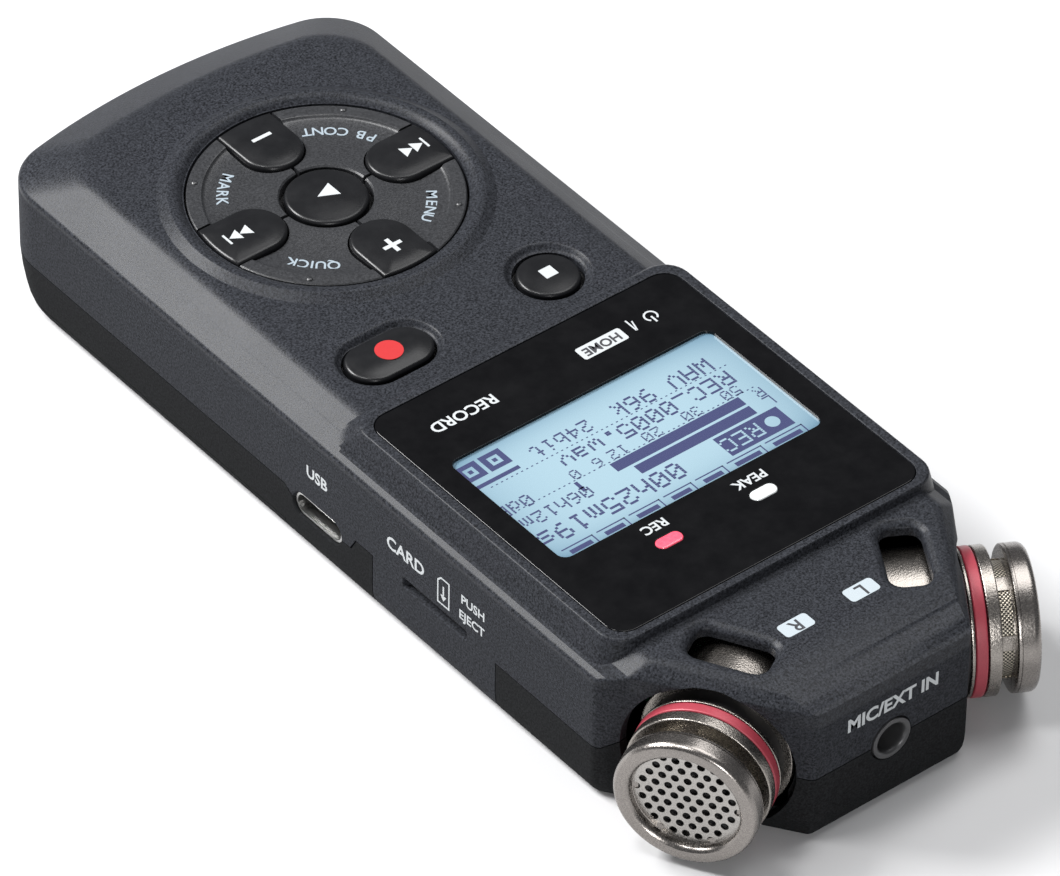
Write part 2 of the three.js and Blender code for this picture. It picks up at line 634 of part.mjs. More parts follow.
class Coil extends THREE.Curve {
  constructor(x, y, turns, pitch) {
    super();
    Object.assign(this, { x, y, turns, pitch });
  }

  getPoint(t, target = new THREE.Vector3()) {
    const angle = t * this.turns * 2 * Math.PI;
    const r = 3.4 - 1.6 * t;
    return target.set(
      this.x + r * Math.cos(angle), this.y + t * this.turns * this.pitch, CELL.z + r * Math.sin(angle),
    );
  }
}

function contactSpring(x) {
  const path = new Coil(x, BAY.start + 0.55, 1.6, 0.7);
  const shape = new THREE.Shape(circle(0, 0, 0.22, 6));
  return solid(new THREE.ExtrudeGeometry(shape, { extrudePath: path, steps: 26, bevelEnabled: false }));
}

const contactTab = (x) => join(box(x - 4, x + 4, BAY.start + 0.3, BAY.start + 0.6, 5, 13),
  box(x - 2, x + 2, BAY.start + 0.5, BAY.start + 1.6, 7.5, 10.5));

const contactBridge = () => box(-12, 12, BAY.end - 0.6, BAY.end - 0.3, 5, 13);

// ---- Microphones ----------------------------------------------------------------------------

// Turned rings along +Z, in the microphone's own frame.
function sleeve(outer, inner, [from, to], bevel, steps = 28) {
  return turned([
    [inner, from], [outer - bevel, from], [outer, from + bevel], [outer, to - bevel],
    [outer - bevel, to], [inner, to], [inner, from],
  ], steps);
}

function micCap() {
  const [from, to] = MIC.cap;
  const profile = [
    [6.1, from], [8.4, from], [8.8, from + 0.4], [8.8, to - 0.5], [8.5, to], [6.7, to],
    [6.6, to - 0.6], [6.1, to - 0.6], [6.1, from],
  ];
  return turned(profile, 32);
}

function micGrille() {
  const [from, to] = MIC.grille;
  const pitch = 2.3;
  const holes = [];
  for (let row = -2; row <= 2; row += 1) {
    const count = 5 - Math.abs(row);
    for (let i = 0; i < count; i += 1) {
      const x = (i - (count - 1) / 2) * pitch;
      holes.push(rod(x, row * pitch * 0.866, 0.65, from - 1, to + 1, 6));
    }
  }
  return cut(rod(0, 0, 5.8, from, to, 24), ...holes);
}

const micCapsule = () => turned([
  [0, MIC.capsule[0]], [4.4, MIC.capsule[0]], [4.85, MIC.capsule[0] + 0.4],
  [4.85, MIC.capsule[1]], [3.2, MIC.capsule[1]], [3.0, MIC.capsule[1] - 0.3], [0, MIC.capsule[1] - 0.3],
], 20);

// ---- Finishes -------------------------------------------------------------------------------

const FINISH = {
  shell: [0x3d3f43, 0.55, 0], rear: [0x2c2d30, 0.6, 0], gloss: [0x0b0b0d, 0.08, 0],
  lcd: [0xb4d6e4, 0.25, 0], key: [0x2a2b2e, 0.35, 0], record: [0x2a2b2e, 0.3, 0],
  redLight: [0xe23a4a, 0.3, 0], whiteLight: [0xf2f4f4, 0.3, 0], nickel: [0xb9b4ac, 0.25, 1],
  crimson: [0xb8384f, 0.35, 0.6], mesh: [0x8b8478, 0.45, 1], steel: [0xa8a8a6, 0.3, 1],
  brass: [0xb89650, 0.35, 1], board: [0x1d5a36, 0.5, 0], rubber: [0x2b2b2b, 0.9, 0],
  cellSleeve: [0x2f6f5d, 0.4, 0.3], blackPart: [0x18181a, 0.6, 0], jackRing: [0x2b2c2e, 0.4, 0.4],
};

const recorder = new THREE.Group();

function add(name, finish, body, parent = recorder) {
  const [color, roughness, metalness] = FINISH[finish];
  const material = new THREE.MeshStandardMaterial({ color, roughness, metalness });
  const mesh = new THREE.Mesh(geometryOf(body), material);
  mesh.name = name;
  parent.add(mesh);
}

// ---- Assembly -------------------------------------------------------------------------------

add('front_shell', 'shell', frontShell());
add('rear_shell', 'rear', rearShell());
add('battery_door', 'rear', batteryDoor());

add('display_window', 'gloss', displayWindow());
add('lcd_module', 'lcd', lcdModule());
add('rec_light_pipe', 'redLight', lightPipe(REC_LED));
add('peak_light_pipe', 'whiteLight', lightPipe(PEAK_LED));

add('play_key', 'key', playKey());
const armKeys = { forward_key: 0, plus_key: 90, back_key: 180, minus_key: 270 };
for (const [name, degrees] of Object.entries(armKeys)) add(name, 'key', armKey(degrees));
const padKeys = { quick_key: 0, menu_key: 90, playback_key: 180, mark_key: 270 };
for (const [name, degrees] of Object.entries(padKeys)) add(name, 'key', padKey(degrees));
add('stop_key', 'key', stopKey());
add('record_key', 'record', recordKey());
add('keypad_sheet', 'rubber', keypadSheet());

add('main_board', 'board', mainBoard());
add('io_board', 'board', ioBoard());
add('usb_port', 'steel', usbPort());
add('card_socket', 'steel', cardSocket());
add('memory_card', 'blackPart', memoryCard());
add('mic_input_jack', 'jackRing', endways(jack(12), 0, END_Y, MIC_Z));
add('phones_jack', 'jackRing', sideways(jack(13), -1, -HALF_WIDTH, PHONES.y, PHONES.z));
add('speaker', 'blackPart', speaker());
add('tripod_insert', 'brass', tripodInsert());
SCREWS.forEach(([x, y, z], i) => add(`housing_screw_${i + 1}`, 'steel', screw(x, y, z)));

add('battery_right', 'cellSleeve', cell(CELL.x, 1));
add('battery_left', 'cellSleeve', cell(-CELL.x, -1));
add('contact_spring', 'steel', contactSpring(CELL.x));
add('contact_tab', 'steel', contactTab(-CELL.x));
add('contact_bridge', 'steel', contactBridge());

for (const [label, side] of [['right', 1], ['left', -1]]) {
  const microphone = new THREE.Group();
  microphone.applyMatrix4(micFrame(side));
  recorder.add(microphone);
  add(`mic_${label}_barrel`, 'nickel', micBarrel(), microphone);
  add(`mic_${label}_ring`, 'crimson', sleeve(COLLAR_R, NECK_INNER_R, MIC.ring, 0.15), microphone);
  add(`mic_${label}_collar`, 'nickel', sleeve(COLLAR_R, NECK_INNER_R, MIC.collar, 0.25), microphone);
  add(`mic_${label}_band`, 'mesh', sleeve(NECK_R, NECK_INNER_R, MIC.band, 0.05), microphone);
  add(`mic_${label}_cap`, 'nickel', micCap(), microphone);
  add(`mic_${label}_grille`, 'nickel', micGrille(), microphone);
  add(`mic_${label}_capsule`, 'blackPart', micCapsule(), microphone);
}

export default recorder;
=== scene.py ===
"""Looks of a portable field recorder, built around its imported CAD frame."""
import math

import bpy
from mathutils import Matrix, Vector


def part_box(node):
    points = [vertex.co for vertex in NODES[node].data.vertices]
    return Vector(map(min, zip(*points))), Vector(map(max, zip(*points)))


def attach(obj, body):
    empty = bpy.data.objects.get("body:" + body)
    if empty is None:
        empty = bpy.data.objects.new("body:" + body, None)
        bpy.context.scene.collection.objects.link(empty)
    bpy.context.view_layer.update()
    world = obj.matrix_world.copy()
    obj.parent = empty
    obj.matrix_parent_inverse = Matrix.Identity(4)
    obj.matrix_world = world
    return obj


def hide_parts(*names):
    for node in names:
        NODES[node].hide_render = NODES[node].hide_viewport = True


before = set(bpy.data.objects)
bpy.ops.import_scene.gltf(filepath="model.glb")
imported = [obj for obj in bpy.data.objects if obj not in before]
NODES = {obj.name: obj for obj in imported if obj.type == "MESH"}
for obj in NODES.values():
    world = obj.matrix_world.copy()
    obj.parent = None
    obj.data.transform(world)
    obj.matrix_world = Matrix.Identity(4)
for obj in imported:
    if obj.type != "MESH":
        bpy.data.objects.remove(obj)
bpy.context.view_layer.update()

# ---- Sizes, in millimetres ------------------------------------------------------------------

MM = 0.001


def span(node, axis):
    """Lowest and highest value of a CAD node along an axis, in millimetres."""
    low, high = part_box(node)
    return low[axis] / MM, high[axis] / MM


def middle(node):
    return [sum(span(node, axis)) / 2 for axis in range(3)]


HALF_WIDTH = span("front_shell", 0)[1]
TAIL_Y, END_Y = span("front_shell", 1)
BEZEL_Z = span("front_shell", 2)[1]
PANEL_Z = BEZEL_Z - 1.2
FLANK_Z = PANEL_Z - 3.35
PART_Z = 7.75
FLANK_RUN = 5.24                 # how far the flanks reach in from the sides
TAIL_RUN = 7.36                  # and from the tail
CHEEK_Y = 47.7
END_HALF = 11.65
CHEEK_RUN = 2.0
CHEEK_TOP_Z = PANEL_Z - 1.8
WALL = 1.6
SEAM = 0.16                      # visible gap between mouldings

WINDOW_X, WINDOW_Y0 = span("display_window", 0)[1], span("display_window", 1)[0]
WINDOW_Y1, WINDOW_Z = span("display_window", 1)[1], span("display_window", 2)[1]
VIEW_X, VIEW_Y0, VIEW_Y1 = 19.7, 11.9, 33.3     # visible area of the display
LCD_Z = WINDOW_Z - 0.42

WHEEL_Y = middle("play_key")[1]
WHEEL_R = 17.3
STOP = middle("stop_key")
RECORD = middle("record_key")

MIC_ANGLE = math.radians(30)
MIC_Y = 48.17
MIC_Z = middle("mic_input_jack")[2]
DOOR_EDGE_Y = span("battery_door", 1)[1]
DOOR_Z = span("battery_door", 2)[1]

# ---- Camera, light and floor ----------------------------------------------------------------


def add_camera():
    azimuth, roll = math.radians(140.565), math.radians(1.008)
    back = Vector((0.4773, 0.5803, 0.6598)).normalized()
    level = Vector((math.cos(azimuth), math.sin(azimuth), 0))
    upward = back.cross(level)
    right = math.cos(roll) * level + math.sin(roll) * upward
    up = math.cos(roll) * upward - math.sin(roll) * level
    data = bpy.data.cameras.new("camera")
    data.lens = 303.35
    data.sensor_width = 36
    data.clip_start = 0.05
    data.clip_end = 20
    camera = bpy.data.objects.new("camera", data)
    turn = Matrix((right, up, back)).transposed().to_4x4()
    camera.matrix_world = Matrix.Translation((0.508022, 0.620586, 0.711816)) @ turn
    bpy.context.scene.collection.objects.link(camera)
    bpy.context.scene.camera = camera


def softbox(name, direction, distance, size, power, target=(0, 0, 0.01)):
    """A rectangular light at a direction from the recorder, turned towards it."""
    data = bpy.data.lights.new(name, "AREA")
    data.shape = "RECTANGLE"
    data.size, data.size_y = size
    data.energy = power
    light = bpy.data.objects.new(name, data)
    spot = Vector(target) + Vector(direction).normalized() * distance
    light.location = spot
    light.rotation_euler = (spot - Vector(target)).to_track_quat("Z", "Y").to_euler()
    bpy.context.scene.collection.objects.link(light)


def add_studio():
    world = bpy.data.worlds.new("studio")
    world.use_nodes = True
    background = world.node_tree.nodes["Background"]
    background.inputs["Color"].default_value = (0.93, 0.95, 1.0, 1)
    background.inputs["Strength"].default_value = 0.2
    bpy.context.scene.world = world
    softbox("flank_light", (0.41, -0.6, 0.69), 0.9, (0.42, 0.28), 15.0)
    softbox("top_light", (-0.42, -0.05, 1.0), 1.0, (0.6, 0.6), 5.0)
    softbox("key_light", (0.29, -0.14, 0.945), 1.05, (0.22, 0.22), 4.0)
    softbox("mic_light", (0.55, 0.9, 0.42), 0.9, (0.12, 0.35), 2.8)
    bpy.context.scene.view_settings.view_transform = "Standard"


# ---- Modelling helpers ----------------------------------------------------------------------


def deselect():
    if bpy.context.object and bpy.context.object.mode != "OBJECT":
        bpy.ops.object.mode_set(mode="OBJECT")
    bpy.ops.object.select_all(action="DESELECT")


def activate(obj):
    deselect()
    obj.select_set(True)
    bpy.context.view_layer.objects.active = obj


def settle(obj):
    """Puts the object's turn, size and place into its mesh."""
    activate(obj)
    bpy.ops.object.transform_apply(location=True, rotation=True, scale=True)
    return obj


def in_edit(obj, *steps):
    """Runs edit-mode operators on the whole mesh."""
    activate(obj)
    bpy.ops.object.mode_set(mode="EDIT")
    bpy.ops.mesh.select_all(action="SELECT")
    for step, settings in steps:
        step(**settings)
    bpy.ops.object.mode_set(mode="OBJECT")
    return obj


def set_selected_face(obj, ring):
    """Moves the corners of the one selected face to the points of a ring."""
    bpy.ops.object.mode_set(mode="OBJECT")
    face = next(p for p in obj.data.polygons if p.select)
    for index, point in zip(face.vertices, ring):
        obj.data.vertices[index].co = Vector(point) * MM
    bpy.ops.object.mode_set(mode="EDIT")


def loft(name, rings):
    """A filled ring, extruded and reshaped level by level."""
    deselect()
    bpy.ops.mesh.primitive_circle_add(vertices=len(rings[0]), radius=MM, fill_type="NGON")
    obj = bpy.context.object
    obj.name = name
    bpy.ops.object.mode_set(mode="EDIT")
    bpy.ops.mesh.select_mode(type="FACE")
    bpy.ops.mesh.select_all(action="SELECT")
    set_selected_face(obj, rings[0])
    for ring in rings[1:]:
        bpy.ops.mesh.extrude_region_move(TRANSFORM_OT_translate={"value": (0, 0, MM)})
        set_selected_face(obj, ring)
    bpy.ops.mesh.select_all(action="SELECT")
    bpy.ops.mesh.normals_make_consistent(inside=False)
    bpy.ops.object.mode_set(mode="OBJECT")
    return obj


def flat(outline, z):
    return [(x, y, z) for x, y in outline]


def prism(name, outline, z0, z1):
    return loft(name, [flat(outline, z0), flat(outline, z1)])


def arc(cx, cy, r, a0, a1, steps):
    """Points on an arc, in degrees."""
    turns = [math.radians(a0 + (a1 - a0) * i / steps) for i in range(steps + 1)]
    return [(cx + r * math.cos(a), cy + r * math.sin(a)) for a in turns]


def circle(cx, cy, r, steps):
    return arc(cx, cy, r, 0, 360, steps)[:-1]


def rounded_rect(cx, cy, half_x, half_y, r, steps=6):
    x, y = half_x - r, half_y - r
    points = arc(cx + x, cy - y, r, -90, 0, steps) + arc(cx + x, cy + y, r, 0, 90, steps)
    return points + arc(cx - x, cy + y, r, 90, 180, steps) + arc(cx - x, cy - y, r, 180, 270, steps)


def box(name, x0, x1, y0, y1, z0, z1):
    deselect()
    bpy.ops.mesh.primitive_cube_add(size=1, location=(0, 0, 0))
    obj = bpy.context.object
    obj.name = name
    obj.scale = ((x1 - x0) * MM, (y1 - y0) * MM, (z1 - z0) * MM)
    obj.location = ((x0 + x1) / 2 * MM, (y0 + y1) / 2 * MM, (z0 + z1) / 2 * MM)
    return settle(obj)


def turned(name, profile, steps, x=0, y=0):
    """A body of revolution about +Z from [radius, height] pairs; the profile closes on itself."""
    deselect()
    bpy.ops.mesh.primitive_circle_add(vertices=len(profile), radius=MM, fill_type="NOTHING")
    obj = bpy.context.object
    obj.name = name
    for vertex, (r, z) in zip(obj.data.vertices, profile):
        vertex.co = Vector((r, 0, z)) * MM
    in_edit(
        obj,
        (bpy.ops.mesh.spin, {"steps": steps, "angle": math.tau, "center": (0, 0, 0), "axis": (0, 0, 1)}),
        (bpy.ops.mesh.select_all, {"action": "SELECT"}),
        (bpy.ops.mesh.remove_doubles, {"threshold": 1e-6}),
        (bpy.ops.mesh.dissolve_degenerate, {"threshold": 1e-7}),
        (bpy.ops.mesh.select_all, {"action": "SELECT"}),
        (bpy.ops.mesh.delete_loose, {"use_verts": True, "use_edges": True, "use_faces": False}),
        (bpy.ops.mesh.select_all, {"action": "SELECT"}),
        (bpy.ops.mesh.normals_make_consistent, {"inside": False}),
    )
    obj.location = (x * MM, y * MM, 0)
    return settle(obj)


def placed(obj, matrix):
    obj.matrix_world = matrix @ obj.matrix_world
    return settle(obj)


def along(direction, spot=(0, 0, 0), up=(0, 0, 1)):
    """A frame whose +Z points along a direction and whose +Y is nearest to up, at a spot in mm."""
    z = Vector(direction).normalized()
    if z.cross(Vector(up)).length < 0.001:
        up = (0, 1, 0)
    x = Vector(up).cross(z).normalized()
    y = z.cross(x)
    return Matrix.Translation(Vector(spot) * MM) @ Matrix((x, y, z)).transposed().to_4x4()


def modified(obj, kind, **settings):
    activate(obj)
    modifier = obj.modifiers.new(kind.lower(), kind)
    for key, value in settings.items():
        setattr(modifier, key, value)
    bpy.ops.object.modifier_apply(modifier=modifier.name)
    return obj


def combined(obj, operation, *others):
    """The object joined with, cut by or kept inside others, which are used up."""
    for other in others:
        modified(obj, "BOOLEAN", operation=operation, solver="EXACT", object=other)
        bpy.data.objects.remove(other)
    return obj


def copied(obj, name):
    twin = obj.copy()
    twin.data = obj.data.copy()
    twin.name = name
    bpy.context.scene.collection.objects.link(twin)
    return twin


def gathered(name, objects):
    activate(objects[0])
    for obj in objects:
        obj.select_set(True)
    bpy.ops.object.join()
    objects[0].name = name
    return objects[0]


def softened(obj, width=0.0, segments=2, angle=35):
    """Rounds the sharp edges a little and shades the rest smooth."""
    if width:
        modified(
            obj, "BEVEL", width=width * MM, segments=segments, limit_method="ANGLE",
            angle_limit=math.radians(angle), use_clamp_overlap=True, miter_outer="MITER_ARC",
        )
    activate(obj)
    bpy.ops.object.shade_smooth_by_angle(angle=math.radians(angle))
    modified(obj, "WEIGHTED_NORMAL", keep_sharp=True)
    return obj


def piece(obj, body, material, slot, *nodes):
    """A finished piece: its material, the body it rides on and the CAD nodes it stands for."""
    obj.data.materials.clear()
    obj.data.materials.append(material)
    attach(obj, body)
    if nodes:
        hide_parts(*nodes)
    return obj


# ---- Shader helpers -------------------------------------------------------------------------


class Value:
    """A number that varies over a surface: arithmetic on it adds Math nodes."""

    def __init__(self, shader, socket):
        self.shader = shader
        self.socket = socket

    def _with(self, operation, first, second=None):
        inputs = {0: first} if second is None else {0: first, 1: second}
        return self.shader.node("ShaderNodeMath", {"operation": operation}, inputs)

    def __add__(self, other):
        return self._with("ADD", self, other)

    def __sub__(self, other):
        return self._with("SUBTRACT", self, other)

    def __rsub__(self, other):
        return self._with("SUBTRACT", other, self)

    def __mul__(self, other):
        return self._with("MULTIPLY", self, other)

    def __truediv__(self, other):
        return self._with("DIVIDE", self, other)

    __radd__ = __add__
    __rmul__ = __mul__

    def power(self, other):
        return self._with("POWER", self, other)

    def above(self, other):
        return self._with("GREATER_THAN", self, other)

    def below(self, other):
        return self._with("LESS_THAN", self, other)

    def sine(self):
        return self._with("SINE", self)

    def absolute(self):
        return self._with("ABSOLUTE", self)

    def clamped(self):
        return self.shader.node("ShaderNodeClamp", {}, {0: self})

    def ramp(self, low, high):
        """0 below low, 1 above high."""
        return ((self - low) / (high - low)).clamped()


class Finish:
    """A Principled material built up from expressions."""

    def __init__(self, name, colour, roughness, metallic=0.0, **fixed):
        self.material = bpy.data.materials.new(name)
        self.material.use_nodes = True
        self.tree = self.material.node_tree
        self.surface = self.tree.nodes["Principled BSDF"]
        self.set("Base Color", (*colour, 1))
        self.set("Roughness", roughness)
        self.set("Metallic", metallic)
        for key, value in fixed.items():
            self.set(key.replace("_", " "), value)

    def set(self, socket, value):
        self.feed(self.surface.inputs[socket], value)

    def feed(self, target, value):
        if isinstance(value, Value):
            self.tree.links.new(value.socket, target)
        elif isinstance(value, bpy.types.NodeSocket):
            self.tree.links.new(value, target)
        else:
            target.default_value = value

    def node(self, kind, settings=None, inputs=None, output=0):
        made = self.tree.nodes.new(kind)
        for key, value in (settings or {}).items():
            if key == "stops":
                self.set_stops(made.color_ramp, value)
            else:
                setattr(made, key, value)
        for key, value in (inputs or {}).items():
            self.feed(made.inputs[key], value)
        return Value(self, made.outputs[output])

    @staticmethod
    def set_stops(ramp, stops):
        while len(ramp.elements) < len(stops):
            ramp.elements.new(0.5)
        for element, (position, colour) in zip(ramp.elements, stops):
            element.position = position
            element.color = (*colour, 1)

    def position(self):
        return self.node("ShaderNodeTexCoord", output="Object")

    def axes(self):
        split = self.tree.nodes.new("ShaderNodeSeparateXYZ")
        self.feed(split.inputs[0], self.position())
        return [Value(self, split.outputs[i]) for i in range(3)]

    def noise(self, size_mm, detail=2.0, roughness=0.5, stretch=None):
        """Cloudy noise with features of a size."""
        vector = self.position()
        if stretch:
            vector = self.node("ShaderNodeMapping", {}, {"Vector": vector, "Scale": stretch})
        return self.node(
            "ShaderNodeTexNoise", {},
            {"Vector": vector, "Scale": 1 / (size_mm * MM), "Detail": detail, "Roughness": roughness},
        )

    def cells(self, size_mm, feature="F1", output="Distance"):
        return self.node(
            "ShaderNodeTexVoronoi", {"feature": feature},
            {"Vector": self.position(), "Scale": 1 / (size_mm * MM)}, output,
        )

    def mix(self, factor, first, second):
        """A colour between two."""
        made = self.tree.nodes.new("ShaderNodeMix")
        made.data_type = "RGBA"
        for key, value in ((0, factor), (6, first), (7, second)):
            self.feed(made.inputs[key], (*value, 1) if isinstance(value, tuple) else value)
        return Value(self, made.outputs[2])

    def bump(self, height, depth_mm, strength=1.0, after=None):
        inputs = {"Height": height, "Distance": depth_mm * MM, "Strength": strength}
        if after:
            inputs["Normal"] = after
        return self.node("ShaderNodeBump", {}, inputs)


# ---- Finishes -------------------------------------------------------------------------------


def moulding(name, colour, roughness, contrast=0.5, level=0.25):
    """Spark-eroded plastic: a speckled grain, faint flow clouds, and walls etched duller than the face."""
    f = Finish(name, colour, roughness, Specular_IOR_Level=level)
    coarse = f.noise(0.27, 2.0, 0.6)
    fine = f.noise(0.1, 2.0, 0.6)
    x, y, z = f.axes()
    across = x.absolute()
    walls = 1 - z.ramp((FLANK_Z - 0.9) * MM, (FLANK_Z - 0.3) * MM)
    frame_walls = across.above(24.32 * MM) * across.below(25.8 * MM) * y.above(-1 * MM)
    dull = (walls + frame_walls).clamped()
    clouds = f.noise(11.0, 3.0)
    grain = coarse * 0.65 + fine * 0.35
    lighter = tuple(c * (1 + contrast * 1.5) for c in colour)
    darker = tuple(c * (1 - contrast) for c in colour)
    speckled = f.mix(grain.ramp(0.38, 0.64), darker, lighter)
    f.set("Base Color", f.mix(clouds.ramp(0.25, 0.85) * 0.35, speckled, colour))
    f.set("Roughness", (grain - 0.5) * 0.3 + (clouds - 0.5) * 0.08 + dull * 0.42 + roughness)
    f.set("Normal", f.bump(grain, 0.028))
    return f.material


def smooth_plastic(name, colour, roughness, **fixed):
    """Polished or satin plastic with faint handling marks."""
    f = Finish(name, colour, roughness, **fixed)
    smudges = f.noise(3.5, 4.0, 0.6)
    dust = f.noise(0.12, 2.0, 0.7)
    f.set("Base Color", f.mix(smudges.ramp(0.35, 0.75), colour, tuple(c * 1.25 + 0.002 for c in colour)))
    f.set("Roughness", smudges.ramp(0.35, 0.8) * 0.08 + dust * 0.05 + (roughness - 0.04))
    f.set("Normal", f.bump(dust, 0.0015))
    return f.material


def blasted_nickel(name, colour, roughness=0.24, sparkle=1.0):
    """Bead-blasted plate: bright specks under a warm tint."""
    f = Finish(name, colour, roughness, 1.0)
    beads = f.cells(0.26)
    grain = f.noise(0.2, 2.0, 0.7)
    tarnish = f.noise(5.0, 3.0)
    tint = f.mix(tarnish.ramp(0.3, 0.75), colour, tuple(c * 0.8 for c in colour))
    f.set("Base Color", f.mix(grain.ramp(0.42, 0.68), tuple(c * 0.72 for c in colour), tint))
    f.set("Roughness", grain * 0.25 + (roughness - 0.12))
    f.set("Normal", f.bump(beads * 0.7 + grain, 0.02 * sparkle))
    return f.material


def anodised(name, colour, roughness):
    f = Finish(name, colour, roughness, 0.15, Coat_Weight=0.1, Coat_Roughness=0.25)
    grain = f.noise(0.12, 3.0, 0.7)
    f.set("Base Color", f.mix(grain.ramp(0.35, 0.7), colour, tuple(min(1, c * 1.4 + 0.01) for c in colour)))
    f.set("Roughness", grain * 0.15 + (roughness - 0.07))
    f.set("Normal", f.bump(grain, 0.003))
    return f.material


def woven_wire(name, colour):
    """Fine woven wire, laid out on the piece's own unrolled map in millimetres."""
    f = Finish(name, colour, 0.35, 1.0)
    split = f.tree.nodes.new("ShaderNodeSeparateXYZ")
    f.feed(split.inputs[0], f.node("ShaderNodeUVMap", {"uv_map": "unrolled"}))
    u, v = [Value(f, split.outputs[i]) * (math.tau / 0.5) for i in range(2)]
    over = (u.sine() * v.sine() + 1) * 0.5
    holes = over.ramp(0.4, 0.6)
    f.set("Base Color", f.mix(holes, (0.012, 0.01, 0.008), colour))
    f.set("Metallic", holes * 0.8 + 0.2)
    f.set("Roughness", 0.6 - holes * 0.3)
    f.set("Normal", f.bump(over, 0.06))
    return f.material


def printed(name, colour):
    """Pad-printed ink."""
    f = Finish(name, colour, 0.55)
    grain = f.noise(0.1, 2.0, 0.6)
    f.set("Base Color", f.mix(grain.ramp(0.2, 0.8), tuple(c * 0.88 for c in colour), colour))
    f.set("Roughness", grain * 0.2 + 0.42)
    f.set("Normal", f.bump(grain, 0.001))
    return f.material


def lit_glass(name, colour, edge, glow):
    """The display's face: brighter in the middle, with a faint dot grid."""
    f = Finish(name, colour, 0.12, Coat_Weight=0.6, Coat_Roughness=0.04)
    x, y, _ = f.axes()
    mid_y = (VIEW_Y0 + VIEW_Y1) / 2 * MM
    off_x = (x / (VIEW_X * MM)).absolute().power(4.0)
    off_y = ((y - mid_y) / ((VIEW_Y1 - VIEW_Y0) / 2 * MM)).absolute().power(5.0)
    shade = (off_x * 0.5 + off_y * 0.75).clamped()
    pitch = 2 * VIEW_X / 128 * MM
    grid = ((x * (math.tau / pitch)).sine().absolute() * (y * (math.tau / pitch)).sine().absolute())
    tone = f.mix(shade, colour, edge)
    tone = f.mix(grid.ramp(0.0, 0.25) * 0.1, tone, tuple(c * 0.8 for c in colour))
    f.set("Base Color", tone)
    f.set("Emission Color", tone)
    f.set("Emission Strength", glow)
    f.set("Roughness", f.noise(4.0) * 0.06 + 0.09)
    return f.material


def glowing(name, colour, glow, roughness=0.3):
    """A light pipe: tinted, with a cloudy glow."""
    f = Finish(name, colour, roughness, Coat_Weight=0.5)
    haze = f.noise(0.5, 2.0)
    f.set("Base Color", f.mix(haze, colour, tuple(min(1, c * 1.3 + 0.05) for c in colour)))
    f.set("Emission Color", f.mix(haze, colour, tuple(min(1, c * 1.2 + 0.04) for c in colour)))
    f.set("Emission Strength", glow)
    f.set("Roughness", haze * 0.1 + roughness)
    return f.material


def sheet_metal(name, colour, roughness=0.3, streak=(1, 0.06, 1)):
    """Rolled or machined metal with fine drawn lines."""
    f = Finish(name, colour, roughness, 1.0)
    lines = f.noise(0.2, 3.0, 0.6, stretch=streak)
    stain = f.noise(4.0, 3.0)
    f.set("Base Color", f.mix(stain.ramp(0.35, 0.7), colour, tuple(c * 0.8 for c in colour)))
    f.set("Roughness", lines * 0.2 + (roughness - 0.08))
    f.set("Normal", f.bump(lines, 0.004))
    return f.material


def circuit_board(name, colour):
    """Solder resist over copper tracks, with gilded pads."""
    f = Finish(name, colour, 0.4, Coat_Weight=0.3)
    x, y, _ = f.axes()
    wander = f.noise(6.0) * (2.2 * MM)
    tracks = ((x + wander) * (math.tau / (1.1 * MM))).sine().ramp(0.55, 0.75)
    cross = ((y + wander) * (math.tau / (1.7 * MM))).sine().ramp(0.75, 0.9)
    pads = f.cells(1.9).ramp(0.2, 0.14)
    copper = f.mix((tracks + cross).clamped(), colour, tuple(c * 1.7 for c in colour))
    f.set("Base Color", f.mix(pads, copper, (0.75, 0.6, 0.25)))
    f.set("Metallic", pads * 0.9)
    f.set("Roughness", 0.45 - pads * 0.15)
    f.set("Normal", f.bump((tracks + cross).clamped() + pads, 0.03))
    return f.material


def rubbery(name, colour):
    f = Finish(name, colour, 0.8)
    grain = f.noise(0.3, 4.0, 0.7)
    f.set("Base Color", f.mix(grain, colour, tuple(c * 1.5 for c in colour)))
    f.set("Roughness", grain * 0.15 + 0.72)
    f.set("Normal", f.bump(grain, 0.01))
    return f.material


def cell_wrap(name):
    """A cell's shrink sleeve: a green body with a paler band and faint scuffs."""
    f = Finish(name, (0.03, 0.17, 0.12), 0.28, 0.3, Coat_Weight=0.6)
    _, y, _ = f.axes()
    low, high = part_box("battery_right")
    band = y.above(low.y + 0.7 * (high.y - low.y))
    scuffs = f.noise(1.2, 5.0, 0.7, stretch=(1, 0.2, 1)).ramp(0.6, 0.72)
    base = f.mix(band, (0.03, 0.17, 0.12), (0.5, 0.47, 0.38))
    f.set("Base Color", f.mix(scuffs * 0.4, base, (0.6, 0.62, 0.6)))
    f.set("Roughness", scuffs * 0.25 + 0.25)
    f.set("Normal", f.bump(scuffs, 0.01))
    return f.material


